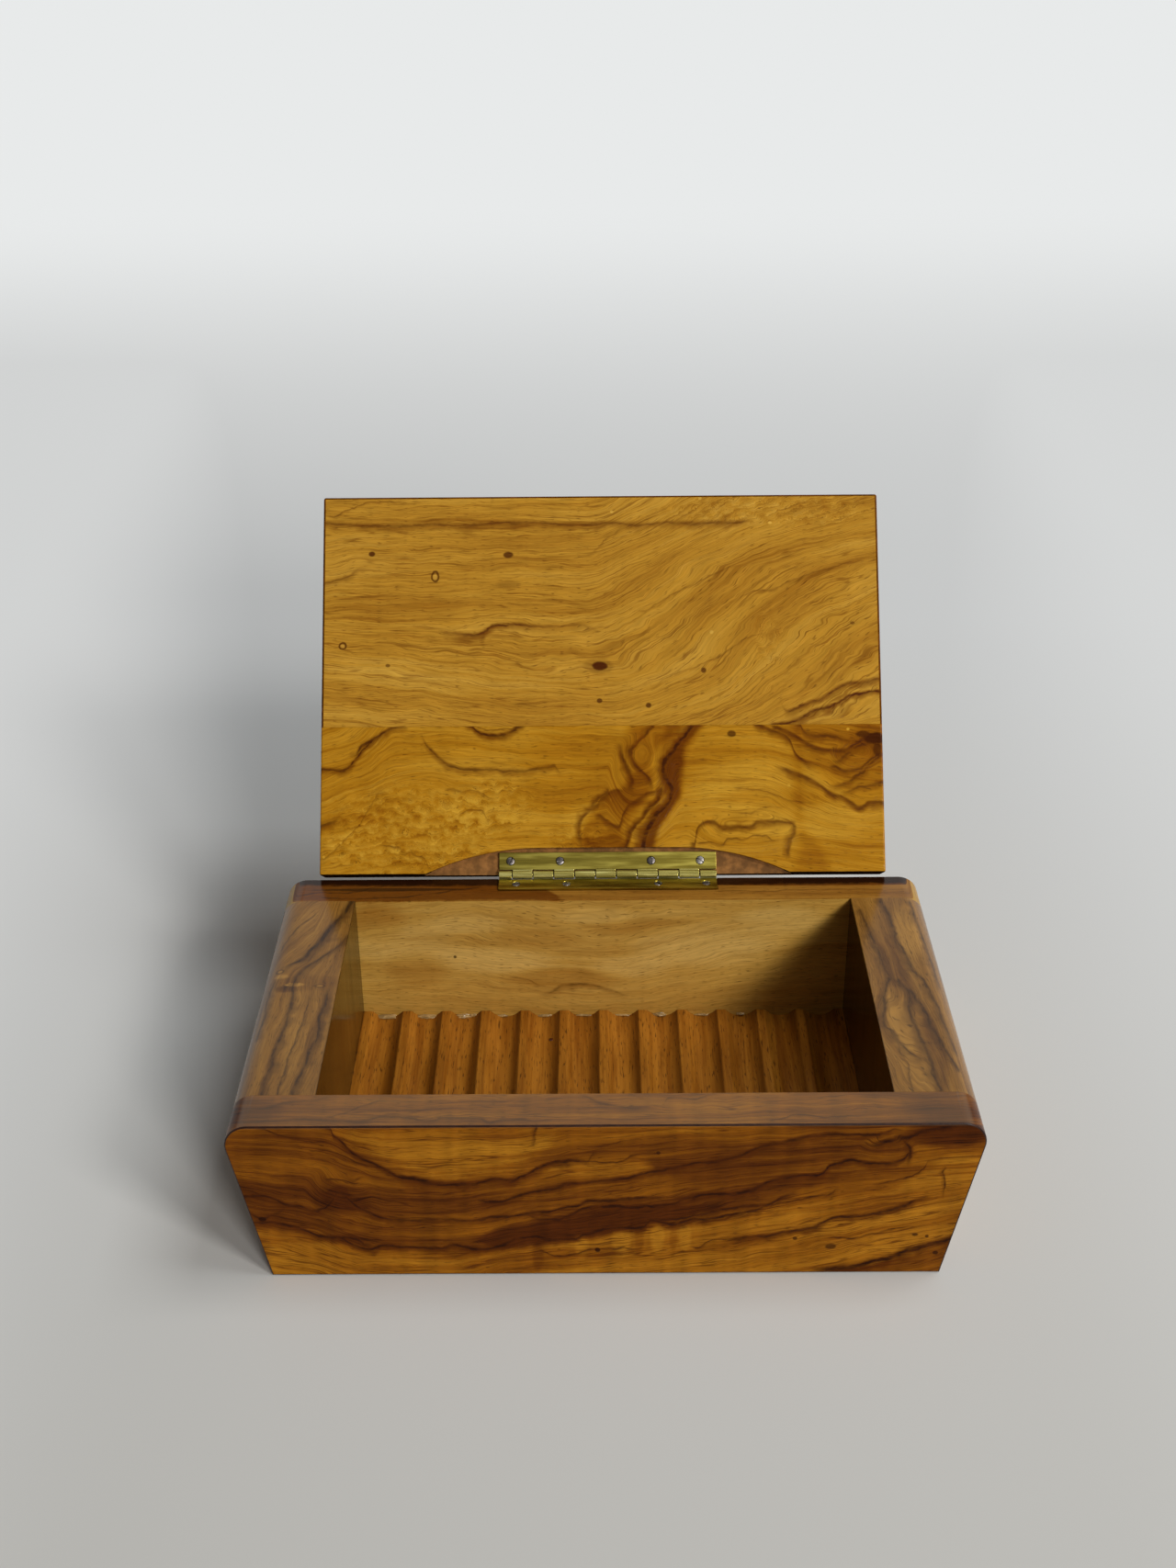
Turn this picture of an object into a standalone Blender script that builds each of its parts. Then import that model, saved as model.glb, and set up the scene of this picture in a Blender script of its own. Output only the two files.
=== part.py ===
"""Hinged olive wood cigarette box with a grooved floor, its lid standing open.

Metres, +Z up. The origin is the middle of the underside, the front is at -Y, and the hinge runs along X at
the top of the back. What belongs to the hinge is drawn about its axis and hangs from an empty there, and so
is the lid, which is drawn as if it were shut and then turned open.
"""

import math

import bmesh
import bpy
from mathutils import Vector

# Compartment and its grooved floor
GROOVE_COUNT = 12
GROOVE_PITCH = 0.0117
GROOVE_DEPTH = 0.0023
RIDGE_WIDTH = 0.0026            # flat left between two grooves, and beside each end block
FLOOR_THICKNESS = 0.0088        # underside to the ridge tops
COMPARTMENT_DEPTH = 0.0899      # front to back: the length of a cigarette, and room to lift it
COMPARTMENT_HEIGHT = 0.0388     # ridge tops to the rim

# Walls
FRONT_BOARD_THICKNESS = 0.0124
BACK_BOARD_THICKNESS = 0.0117
END_BLOCK_THICKNESS = 0.0213    # at its widest, just under the shoulder
END_LEAN = math.radians(11.3)   # how far the ends lean outwards from upright
SHOULDER_RADIUS = 0.0060

# Lid
LID_THICKNESS = 0.0090
LID_SIDE_MARGIN = 0.0036        # flat top of the box left bare beside the lid
LID_REAR_BOARD_WIDTH = 0.0440   # rear edge of the lid to the joint between its two boards
LID_OPEN_ANGLE = math.radians(125.6)

# Hinge
HINGE_LENGTH = 0.0639
HINGE_OFFSET = 0.00155          # the hinge sits this far right of the middle
FIRST_KNUCKLE = 0.0038          # the first knuckle is cut short
KNUCKLE_PITCH = 0.00613
KNUCKLE_RADIUS = 0.0012
LEAF_THICKNESS = 0.0007
LEAF_WIDTH = 0.0067             # hinge axis to the far edge of a leaf
PIN_RADIUS = 0.0006
PIN_CLEARANCE = 0.00008
AXIS_BEHIND_BACK = 0.00015      # the hinge axis lies this far behind the back face

# Hinge seats
LEAF_SEAT_DEPTH = 0.0003        # shallow seat in the back board
RECESS_MARGIN = 0.00125         # wood cut away past the far edge of the lid's leaf
RECESS_END_RADIUS = 0.0780      # the recess was swept out by a large round cutter

# Screws
SCREW_HEAD_RADIUS = 0.00125
SCREW_HEAD_RIM = 0.0001         # upright rim of the countersunk head
SCREW_SHANK_RADIUS = 0.0007
SCREW_POINT_LENGTH = 0.0012
SCREW_SLOT_WIDTH = 0.0004
SCREW_SLOT_DEPTH = 0.00025
SCREW_CLEARANCE = 0.0001
WOOD_PAST_SCREW = 0.0016        # lid left whole past the screw points
BOX_SCREW_SHARES = (0.08, 0.31, 0.73, 0.95)
LID_SCREW_SHARES = (0.052, 0.28, 0.70, 0.926)
BOX_SLOT_ANGLES = (0.35, 1.20, 2.30, 0.10)
LID_SLOT_ANGLES = (1.05, 0.20, 1.75, 2.60)

# Fits and roundings
CLEARANCE = 0.0003              # between neighbours, and under the shut lid
ARRIS_RADIUS = 0.0006           # outside edges eased with abrasive paper
ARRIS_STEPS = 2
SHOULDER_STEPS = 12
GROOVE_STEPS = 8
RECESS_STEPS = 10
KNUCKLE_STEPS = 24
BORE_STEPS = 16
SCREW_STEPS = 16
CUTTER_REACH = 0.0020           # how far a cutter runs past the wood it cuts
SMOOTH_ANGLE = math.radians(35.0)

# Sizes that follow from the ones above
COMPARTMENT_WIDTH = GROOVE_COUNT * GROOVE_PITCH + RIDGE_WIDTH
BOX_WIDTH = COMPARTMENT_WIDTH + 2 * END_BLOCK_THICKNESS
BOX_DEPTH = FRONT_BOARD_THICKNESS + COMPARTMENT_DEPTH + BACK_BOARD_THICKNESS
BOX_HEIGHT = FLOOR_THICKNESS + COMPARTMENT_HEIGHT
FRONT_FACE = -BOX_DEPTH / 2
BACK_FACE = BOX_DEPTH / 2
COMPARTMENT_FRONT = FRONT_FACE + FRONT_BOARD_THICKNESS
COMPARTMENT_BACK = BACK_FACE - BACK_BOARD_THICKNESS
FLAT_TOP_HALF = BOX_WIDTH / 2 - SHOULDER_RADIUS
LID_HALF_WIDTH = FLAT_TOP_HALF - LID_SIDE_MARGIN
LEAF_UNDERSIDE = BOX_HEIGHT - LEAF_SEAT_DEPTH + CLEARANCE
HINGE_AXIS = Vector((0.0, BACK_FACE + AXIS_BEHIND_BACK, LEAF_UNDERSIDE + KNUCKLE_RADIUS))
HINGE_START = HINGE_OFFSET - HINGE_LENGTH / 2
BORE_RADIUS = PIN_RADIUS + PIN_CLEARANCE
NOTCH_REACH = KNUCKLE_RADIUS + CLEARANCE        # wood and the other leaf keep this far from the axis
SCREW_LINE = (NOTCH_REACH + LEAF_WIDTH) / 2     # hinge axis to the row of screws, in the middle of the flat

# The shut lid, measured from the hinge axis: Y forward is negative, Z is up
LID_REAR_EDGE = BACK_FACE - HINGE_AXIS.y
LID_FRONT_EDGE = FRONT_FACE - HINGE_AXIS.y
LID_JOINT = LID_REAR_EDGE - LID_REAR_BOARD_WIDTH
LID_INNER_FACE = BOX_HEIGHT + CLEARANCE - HINGE_AXIS.z
LID_OUTER_FACE = LID_INNER_FACE + LID_THICKNESS
RECESS_FLOOR = NOTCH_REACH
RECESS_EDGE = -LEAF_WIDTH - RECESS_MARGIN
SCREW_HEAD_FACE = KNUCKLE_RADIUS - LEAF_THICKNESS
SCREW_LENGTH = LID_OUTER_FACE - SCREW_HEAD_FACE - WOOD_PAST_SCREW

# A leaf and its screws lie below the hinge axis on the box, and above it on the lid
BELOW = 1
ABOVE = -1


def clear_scene():
    """Takes every object out of the open file."""
    for item in list(bpy.data.objects):
        bpy.data.objects.remove(item, do_unlink=True)


def material(name, colour, roughness, metallic=0.0):
    """A plain Principled material."""
    made = bpy.data.materials.new(name)
    made.use_nodes = True
    shader = made.node_tree.nodes["Principled BSDF"]
    shader.inputs["Base Color"].default_value = (*colour, 1.0)
    shader.inputs["Roughness"].default_value = roughness
    shader.inputs["Metallic"].default_value = metallic
    return made


def arc(centre, radius, start, end, steps):
    """Points along a circular arc, both ends included, as pairs."""
    turn = (end - start) / steps
    return [
        (
            centre[0] + radius * math.cos(start + turn * i),
            centre[1] + radius * math.sin(start + turn * i),
        )
        for i in range(steps + 1)
    ]


def prism(corners, sweep, bore=()):
    """A closed solid: the flat outline through corners, with an optional round hole, swept along a line."""
    bm = bmesh.new()
    for loop in filter(None, (corners, bore)):
        rim = [bm.verts.new(corner) for corner in loop]
        for i, vert in enumerate(rim):
            bm.edges.new((rim[i - 1], vert))
    if bore:
        bmesh.ops.triangle_fill(bm, edges=bm.edges[:], use_beauty=True)
    else:
        bmesh.ops.contextual_create(bm, geom=bm.edges[:])
    swept = bmesh.ops.extrude_face_region(bm, geom=bm.faces[:])
    moved = [item for item in swept["geom"] if isinstance(item, bmesh.types.BMVert)]
    bmesh.ops.translate(bm, verts=moved, vec=sweep)
    bmesh.ops.recalc_face_normals(bm, faces=bm.faces[:])
    return bm


def block(low, high):
    """A closed rectangular solid between two opposite corners."""
    corners = [
        Vector((low[0], low[1], low[2])),
        Vector((high[0], low[1], low[2])),
        Vector((high[0], high[1], low[2])),
        Vector((low[0], high[1], low[2])),
    ]
    return prism(corners, Vector((0.0, 0.0, high[2] - low[2])))


def turned(profile, steps):
    """A closed solid of revolution about Z, from (radius, height) pairs that start and end on the axis."""
    bm = bmesh.new()
    verts = [bm.verts.new((radius, 0.0, height)) for radius, height in profile]
    edges = [bm.edges.new(pair) for pair in zip(verts, verts[1:])]
    bmesh.ops.spin(
        bm,
        geom=verts + edges,
        cent=(0.0, 0.0, 0.0),
        axis=(0.0, 0.0, 1.0),
        angle=2 * math.pi,
        steps=steps,
        use_merge=True,
    )
    bmesh.ops.remove_doubles(bm, verts=bm.verts[:], dist=1e-7)
    bmesh.ops.recalc_face_normals(bm, faces=bm.faces[:])
    return bm


def ease_edges(bm, wanted):
    """Rounds the edges for which wanted(edge) is true."""
    bmesh.ops.bevel(
        bm,
        geom=[edge for edge in bm.edges if wanted(edge)],
        offset=ARRIS_RADIUS,
        offset_type="OFFSET",
        segments=ARRIS_STEPS,
        profile=0.5,
        affect="EDGES",
    )


def lies_at(edge, axis, value):
    """True if both ends of the edge have this coordinate."""
    return all(abs(vert.co[axis] - value) < 1e-6 for vert in edge.verts)


def merged(solids):
    """One bmesh that holds several separate solids."""
    whole = bmesh.new()
    for solid in solids:
        part = bpy.data.meshes.new("part")
        solid.to_mesh(part)
        solid.free()
        whole.from_mesh(part)
        bpy.data.meshes.remove(part)
    return whole


def add_object(name, bm, finish=None, location=(0.0, 0.0, 0.0), parent=None):
    """Puts a bmesh into the scene as a named object."""
    mesh = bpy.data.meshes.new(name)
    bm.to_mesh(mesh)
    bm.free()
    if finish:
        mesh.materials.append(finish)
    mesh.shade_smooth()
    mesh.set_sharp_from_angle(angle=SMOOTH_ANGLE)
    made = bpy.data.objects.new(name, mesh)
    made.location = location
    made.parent = parent
    bpy.context.scene.collection.objects.link(made)
    return made


def cut(target, bm, frame):
    """Cuts the bmesh, drawn in the frame of an empty, out of the target, and keeps it as a wire cutter."""
    name = f"{target.name}_cutter_{len(target.modifiers) + 1}"
    cutter = add_object(name, bm, parent=frame)
    cutter.hide_render = True
    cutter.display_type = "WIRE"
    boolean = target.modifiers.new(cutter.name, "BOOLEAN")
    boolean.operation = "DIFFERENCE"
    boolean.solver = "EXACT"
    boolean.object = cutter


def hinge_frame(name, open_angle):
    """Empty on the hinge axis, turned by the angle to which what it carries stands open."""
    axis = bpy.data.objects.new(name, None)
    axis.location = HINGE_AXIS
    axis.rotation_euler = (-open_angle, 0.0, 0.0)
    bpy.context.scene.collection.objects.link(axis)
    return axis


def end_outline(inner):
    """Section of one end of the box, from its inner face at X = inner out to the shoulder, anticlockwise."""
    centre = (BOX_WIDTH / 2 - SHOULDER_RADIUS, BOX_HEIGHT - SHOULDER_RADIUS)
    shoulder = arc(centre, SHOULDER_RADIUS, -END_LEAN, math.pi / 2, SHOULDER_STEPS)
    side_x, side_z = shoulder[0]
    foot = (side_x - side_z * math.tan(END_LEAN), 0.0)
    return [(inner, 0.0), foot, *shoulder, (inner, BOX_HEIGHT)]


def full_section():
    """Section of the whole box, anticlockwise from the right foot."""
    right = end_outline(0.0)[1:-1]
    left = [(-x, z) for x, z in reversed(right)]
    return [Vector((x, 0.0, z)) for x, z in right + left]


def front_board(finish):
    """Board across the front, its outer face eased all round."""
    bm = prism(full_section(), Vector((0.0, FRONT_BOARD_THICKNESS, 0.0)))
    ease_edges(bm, lambda edge: lies_at(edge, 1, 0.0))
    return add_object("front_board", bm, finish, (0.0, FRONT_FACE, 0.0))


def back_board(finish, frame):
    """Board across the back, with a shallow seat and screw holes for the hinge in its top."""
    bm = prism(full_section(), Vector((0.0, BACK_BOARD_THICKNESS, 0.0)))
    ease_edges(bm, lambda edge: lies_at(edge, 1, BACK_BOARD_THICKNESS))
    board = add_object("back_board", bm, finish, (0.0, COMPARTMENT_BACK, 0.0))
    seat = block(
        (HINGE_START - CLEARANCE, -LEAF_WIDTH - CLEARANCE, -NOTCH_REACH),
        (HINGE_START + HINGE_LENGTH + CLEARANCE, CUTTER_REACH, CUTTER_REACH),
    )
    cut(board, seat, frame)
    cut(board, screw_holes(BOX_SCREW_SHARES, BELOW), frame)
    return board


def end_block(side, name, finish):
    """Block between the two boards at one end: upright inside, leaning outside. Side is -1 or 1."""
    corners = [Vector((side * x, 0.0, z)) for x, z in end_outline(COMPARTMENT_WIDTH / 2)]
    bm = prism(corners, Vector((0.0, COMPARTMENT_DEPTH - 2 * CLEARANCE, 0.0)))
    return add_object(name, bm, finish, (0.0, COMPARTMENT_FRONT + CLEARANCE, 0.0))


def grooved_floor(finish):
    """Floor board let in between the walls, with a round-bottomed groove for each cigarette."""
    half = COMPARTMENT_WIDTH / 2 - CLEARANCE
    chord = GROOVE_PITCH - RIDGE_WIDTH
    radius = (chord ** 2 / 4 + GROOVE_DEPTH ** 2) / (2 * GROOVE_DEPTH)
    sweep = math.asin(chord / 2 / radius)
    outline = [(-half, FLOOR_THICKNESS), (-half, 0.0), (half, 0.0), (half, FLOOR_THICKNESS)]
    for i in range(GROOVE_COUNT):
        middle = ((GROOVE_COUNT - 1) / 2 - i) * GROOVE_PITCH
        centre = (middle, FLOOR_THICKNESS - GROOVE_DEPTH + radius)
        outline += arc(centre, radius, sweep - math.pi / 2, -sweep - math.pi / 2, GROOVE_STEPS)
    corners = [Vector((x, 0.0, z)) for x, z in outline]
    bm = prism(corners, Vector((0.0, COMPARTMENT_DEPTH - 2 * CLEARANCE, 0.0)))
    return add_object("grooved_floor", bm, finish, (0.0, COMPARTMENT_FRONT + CLEARANCE, 0.0))


def lid_board(name, near, far, joint, finish, frame):
    """One board of the lid between two places along Y, eased on every edge but those of its joint."""
    bm = block((-LID_HALF_WIDTH, near, LID_INNER_FACE), (LID_HALF_WIDTH, far, LID_OUTER_FACE))
    ease_edges(bm, lambda edge: not lies_at(edge, 1, joint))
    return add_object(name, bm, finish, parent=frame)


def lid_front_board(finish, frame):
    """Wide front board of the lid."""
    joint = LID_JOINT - CLEARANCE / 2
    return lid_board("lid_front_board", LID_FRONT_EDGE, joint, joint, finish, frame)


def lid_rear_board(finish, frame):
    """Rear board of the lid, with the hinge recess swept out of its inner face, and screw holes."""
    joint = LID_JOINT + CLEARANCE / 2
    board = lid_board("lid_rear_board", joint, LID_REAR_EDGE, joint, finish, frame)
    cut(board, hinge_recess(), frame)
    cut(board, screw_holes(LID_SCREW_SHARES, ABOVE), frame)
    return board


def hinge_recess():
    """Cutter for the lid's hinge recess: straight past the leaf, then curving out to the rear edge."""
    corner_drop = RECESS_MARGIN - CLEARANCE
    corner_run = math.sqrt(RECESS_END_RADIUS ** 2 - (RECESS_END_RADIUS - corner_drop) ** 2)
    straight_half = max(HINGE_LENGTH / 2 + CLEARANCE - corner_run, CLEARANCE)
    reach = LID_REAR_EDGE - RECESS_EDGE
    sweep = math.acos((RECESS_END_RADIUS - reach) / RECESS_END_RADIUS)
    centre = (straight_half, RECESS_EDGE + RECESS_END_RADIUS)
    right = arc(centre, RECESS_END_RADIUS, -math.pi / 2, sweep - math.pi / 2, RECESS_STEPS)
    right.append((right[-1][0], LID_REAR_EDGE + CUTTER_REACH))
    left = [(-x, y) for x, y in reversed(right)]
    corners = [Vector((HINGE_OFFSET + x, y, LID_INNER_FACE - CUTTER_REACH)) for x, y in right + left]
    return prism(corners, Vector((0.0, 0.0, RECESS_FLOOR - LID_INNER_FACE + CUTTER_REACH)))


def screw_holes(shares, side):
    """Cutters for a row of screws, drawn about the hinge axis: each screw's outline, a little larger."""
    head = SCREW_HEAD_RADIUS + SCREW_CLEARANCE
    shank = SCREW_SHANK_RADIUS + SCREW_CLEARANCE
    rim = -SCREW_HEAD_FACE - SCREW_HEAD_RIM
    tip = -SCREW_HEAD_FACE - SCREW_LENGTH - CLEARANCE
    neck = rim - (head - shank)
    profile = [(0.0, 0.0), (head, 0.0), (head, rim), (shank, neck), (shank, tip), (0.0, tip)]
    holes = []
    for share in shares:
        bm = turned([(radius, side * height) for radius, height in profile], SCREW_STEPS)
        place = (HINGE_START + HINGE_LENGTH * share, -SCREW_LINE, 0.0)
        bmesh.ops.translate(bm, verts=bm.verts[:], vec=place)
        holes.append(bm)
    return merged(holes)


def knuckle_spans():
    """Start and end of each knuckle along the hinge, from the left."""
    cuts = [0.0, FIRST_KNUCKLE]
    while cuts[-1] + KNUCKLE_PITCH < HINGE_LENGTH - KNUCKLE_PITCH / 2:
        cuts.append(cuts[-1] + KNUCKLE_PITCH)
    cuts.append(HINGE_LENGTH)
    return [(HINGE_START + start, HINGE_START + end) for start, end in zip(cuts, cuts[1:])]


def leaf_section():
    """Section of the leaf below the hinge axis, from its far edge to its curl, as (y, z) pairs."""
    top = LEAF_THICKNESS - KNUCKLE_RADIUS
    meeting = math.pi + math.asin(-top / KNUCKLE_RADIUS)
    curl = arc((0.0, 0.0), KNUCKLE_RADIUS, -math.pi / 2, meeting, KNUCKLE_STEPS)
    return [(-LEAF_WIDTH, top), (-LEAF_WIDTH, -KNUCKLE_RADIUS), *curl]


def hinge_leaf(name, kept, shares, side, finish, frame):
    """One leaf, curled round the pin. It keeps every second knuckle from kept and is notched between."""
    outline = [Vector((HINGE_START, y, side * z)) for y, z in leaf_section()]
    hole = arc((0.0, 0.0), BORE_RADIUS, 0.0, 2 * math.pi, BORE_STEPS)[:-1]
    bore = [Vector((HINGE_START, y, z)) for y, z in hole]
    bm = prism(outline, Vector((HINGE_LENGTH, 0.0, 0.0)), bore)
    leaf = add_object(name, bm, finish, parent=frame)
    spans = knuckle_spans()
    notches = []
    for i, (start, end) in enumerate(spans):
        if i % 2 != kept:
            low = start - (CLEARANCE / 2 if i else CUTTER_REACH)
            high = end + (CLEARANCE / 2 if i < len(spans) - 1 else CUTTER_REACH)
            corner = (low, -NOTCH_REACH, -NOTCH_REACH)
            notches.append(block(corner, (high, NOTCH_REACH, NOTCH_REACH)))
    cut(leaf, merged(notches), frame)
    cut(leaf, screw_holes(shares, side), frame)
    return leaf


def hinge_pin(finish, frame):
    """Pin through every knuckle."""
    rim = arc((0.0, 0.0), PIN_RADIUS, 0.0, 2 * math.pi, BORE_STEPS)[:-1]
    bm = prism([Vector((HINGE_START, y, z)) for y, z in rim], Vector((HINGE_LENGTH, 0.0, 0.0)))
    return add_object("hinge_pin", bm, finish, parent=frame)


def screw_mesh(finish):
    """Mesh shared by the screws: slotted countersunk head at Z = 0, point downwards."""
    neck = -SCREW_HEAD_RIM - (SCREW_HEAD_RADIUS - SCREW_SHANK_RADIUS)
    shoulder = min(neck - SCREW_HEAD_RIM, SCREW_POINT_LENGTH - SCREW_LENGTH)
    profile = [
        (0.0, 0.0),
        (SCREW_HEAD_RADIUS, 0.0),
        (SCREW_HEAD_RADIUS, -SCREW_HEAD_RIM),
        (SCREW_SHANK_RADIUS, neck),
        (SCREW_SHANK_RADIUS, shoulder),
        (0.0, -SCREW_LENGTH),
    ]
    blank = add_object("screw_blank", turned(profile, SCREW_STEPS), finish)
    slot_half_length = SCREW_HEAD_RADIUS + CUTTER_REACH
    slot = block(
        (-slot_half_length, -SCREW_SLOT_WIDTH / 2, -SCREW_SLOT_DEPTH),
        (slot_half_length, SCREW_SLOT_WIDTH / 2, CUTTER_REACH),
    )
    cut(blank, slot, None)
    graph = bpy.context.evaluated_depsgraph_get()
    mesh = bpy.data.meshes.new_from_object(blank.evaluated_get(graph))
    mesh.name = "hinge_screw"
    for used in (blank.modifiers[0].object, blank):
        bpy.data.objects.remove(used, do_unlink=True)
    return mesh


def add_screws(prefix, mesh, shares, angles, side, frame):
    """A row of screws that share one mesh, head towards the hinge axis, each slot turned its own way."""
    for i, (share, angle) in enumerate(zip(shares, angles), start=1):
        screw = bpy.data.objects.new(f"{prefix}_{i}", mesh)
        screw.parent = frame
        screw.location = (HINGE_START + HINGE_LENGTH * share, -SCREW_LINE, -side * SCREW_HEAD_FACE)
        screw.rotation_euler = (0.0 if side == BELOW else math.pi, 0.0, angle)
        bpy.context.scene.collection.objects.link(screw)


def main():
    """Builds the box, the lid and the hinge between them."""
    clear_scene()
    body_wood = material("body_olive_wood", (0.36, 0.17, 0.05), 0.32)
    lid_wood = material("lid_olive_wood", (0.48, 0.25, 0.06), 0.38)
    floor_wood = material("floor_wood", (0.33, 0.15, 0.06), 0.50)
    brass = material("hinge_brass", (0.42, 0.36, 0.14), 0.38, 1.0)
    steel = material("screw_steel", (0.55, 0.53, 0.50), 0.35, 1.0)
    box_axis = hinge_frame("box_axis", 0.0)
    lid_axis = hinge_frame("lid_axis", LID_OPEN_ANGLE)

    front_board(body_wood)
    back_board(body_wood, box_axis)
    end_block(-1, "left_end_block", body_wood)
    end_block(1, "right_end_block", body_wood)
    grooved_floor(floor_wood)
    lid_front_board(lid_wood, lid_axis)
    lid_rear_board(lid_wood, lid_axis)

    hinge_leaf("hinge_box_leaf", 0, BOX_SCREW_SHARES, BELOW, brass, box_axis)
    hinge_leaf("hinge_lid_leaf", 1, LID_SCREW_SHARES, ABOVE, brass, lid_axis)
    hinge_pin(brass, box_axis)
    screw = screw_mesh(steel)
    add_screws("hinge_box_screw", screw, BOX_SCREW_SHARES, BOX_SLOT_ANGLES, BELOW, box_axis)
    add_screws("hinge_lid_screw", screw, LID_SCREW_SHARES, LID_SLOT_ANGLES, ABOVE, lid_axis)


main()
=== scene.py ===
"""Looks of a low olive wood cigarette box: leaning ends, a grooved floor and a flat lid on a brass hinge.

Sizes are written in millimetres, as a maker measures them, and become metres when a piece is finished. The
origin is the middle of the underside, +Z is up and the front is at -Y. Each board has its own frame, in
which u runs along it, v across it and w out of its seen face, and its figure is drawn in that frame.
"""

import logging
import math
from dataclasses import dataclass, replace
from enum import Enum
from functools import reduce
from typing import Callable, Optional, Sequence, Union

import bmesh
import bpy
from mathutils import Euler, Matrix, Vector, noise

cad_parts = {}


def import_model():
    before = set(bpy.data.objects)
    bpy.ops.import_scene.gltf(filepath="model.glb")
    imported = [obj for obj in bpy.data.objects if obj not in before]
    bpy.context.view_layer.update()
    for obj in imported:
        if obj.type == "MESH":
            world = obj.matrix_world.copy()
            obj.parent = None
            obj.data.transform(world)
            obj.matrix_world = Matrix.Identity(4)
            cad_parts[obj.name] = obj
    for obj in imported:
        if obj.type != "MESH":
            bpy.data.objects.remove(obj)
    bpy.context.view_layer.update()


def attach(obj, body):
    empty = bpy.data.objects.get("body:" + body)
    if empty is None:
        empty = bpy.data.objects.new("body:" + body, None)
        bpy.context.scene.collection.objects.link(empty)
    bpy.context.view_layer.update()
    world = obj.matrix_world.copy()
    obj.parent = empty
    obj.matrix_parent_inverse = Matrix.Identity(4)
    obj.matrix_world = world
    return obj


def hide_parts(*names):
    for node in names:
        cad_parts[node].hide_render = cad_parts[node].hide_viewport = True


LOG = logging.getLogger("cigarette_box")
MM = 0.001
Colour = tuple[float, float, float]
Points = tuple[tuple[float, ...], ...]
Line = list[tuple[float, float, float]]


def paint(red: float, green: float, blue: float) -> Colour:
    """Turns a colour as a screen shows it, 0 to 255, into the linear colour that a shader takes."""
    shares = (red / 255, green / 255, blue / 255)
    return tuple(s / 12.92 if s <= 0.04045 else ((s + 0.055) / 1.055) ** 2.4 for s in shares)


# Shader maths


class Signal:
    """A number that varies over a surface: a shader socket whose arithmetic adds Math nodes."""

    def __init__(self, graph: "Graph", socket: bpy.types.NodeSocket) -> None:
        """Keeps the socket and the graph that it belongs to."""
        self.graph = graph
        self.socket = socket

    def __add__(self, other: "Operand") -> "Signal":
        """Sum."""
        return self.graph.maths("ADD", self, other)

    __radd__ = __add__

    def __sub__(self, other: "Operand") -> "Signal":
        """Difference."""
        return self.graph.maths("SUBTRACT", self, other)

    def __rsub__(self, other: "Operand") -> "Signal":
        """Difference from a number."""
        return self.graph.maths("SUBTRACT", other, self)

    def __mul__(self, other: "Operand") -> "Signal":
        """Product."""
        return self.graph.maths("MULTIPLY", self, other)

    __rmul__ = __mul__

    def __truediv__(self, other: "Operand") -> "Signal":
        """Quotient."""
        return self.graph.maths("DIVIDE", self, other)

    def __rtruediv__(self, other: "Operand") -> "Signal":
        """A number divided by this signal."""
        return self.graph.maths("DIVIDE", other, self)

    def __abs__(self) -> "Signal":
        """Size without its sign."""
        return self.graph.maths("ABSOLUTE", self)

    def most(self, other: "Operand") -> "Signal":
        """The larger of two."""
        return self.graph.maths("MAXIMUM", self, other)

    def least(self, other: "Operand") -> "Signal":
        """The smaller of two."""
        return self.graph.maths("MINIMUM", self, other)

    def ease(self, start: float, end: float) -> "Signal":
        """Smooth step: 0 at start and 1 at end, in either order."""
        return self.span(start, end, kind="SMOOTHSTEP")

    def span(
        self, start: float, end: float, low: float = 0.0, high: float = 1.0, kind: str = "LINEAR"
    ) -> "Signal":
        """Clamped change from one value to another.

        Args:
            start: Where it starts.
            end: Where it ends, on either side of the start.
            low: Value at the start.
            high: Value at the end.
            kind: Run of the change, straight or smooth.

        Returns:
            The changed signal.
        """
        inputs = {"Value": self, "From Min": start, "From Max": end, "To Min": low, "To Max": high}
        node = self.graph.add("ShaderNodeMapRange", {"interpolation_type": kind, "clamp": True}, inputs)
        return Signal(self.graph, node.outputs[0])

    def along(self, points: Sequence[tuple[float, float]]) -> "Signal":
        """Smooth curve through (position, value) pairs, level past its ends."""
        node = self.graph.add("ShaderNodeFloatCurve", {"points": points}, {"Factor": 1.0, "Value": self})
        return Signal(self.graph, node.outputs[0])


Operand = Union[Signal, float]
Tint = Union[bpy.types.NodeSocket, Colour]


def largest(parts: Sequence[Signal]) -> Operand:
    """The largest of several signals, or 0 where there are none."""
    return reduce(Signal.most, parts) if parts else 0.0


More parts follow.
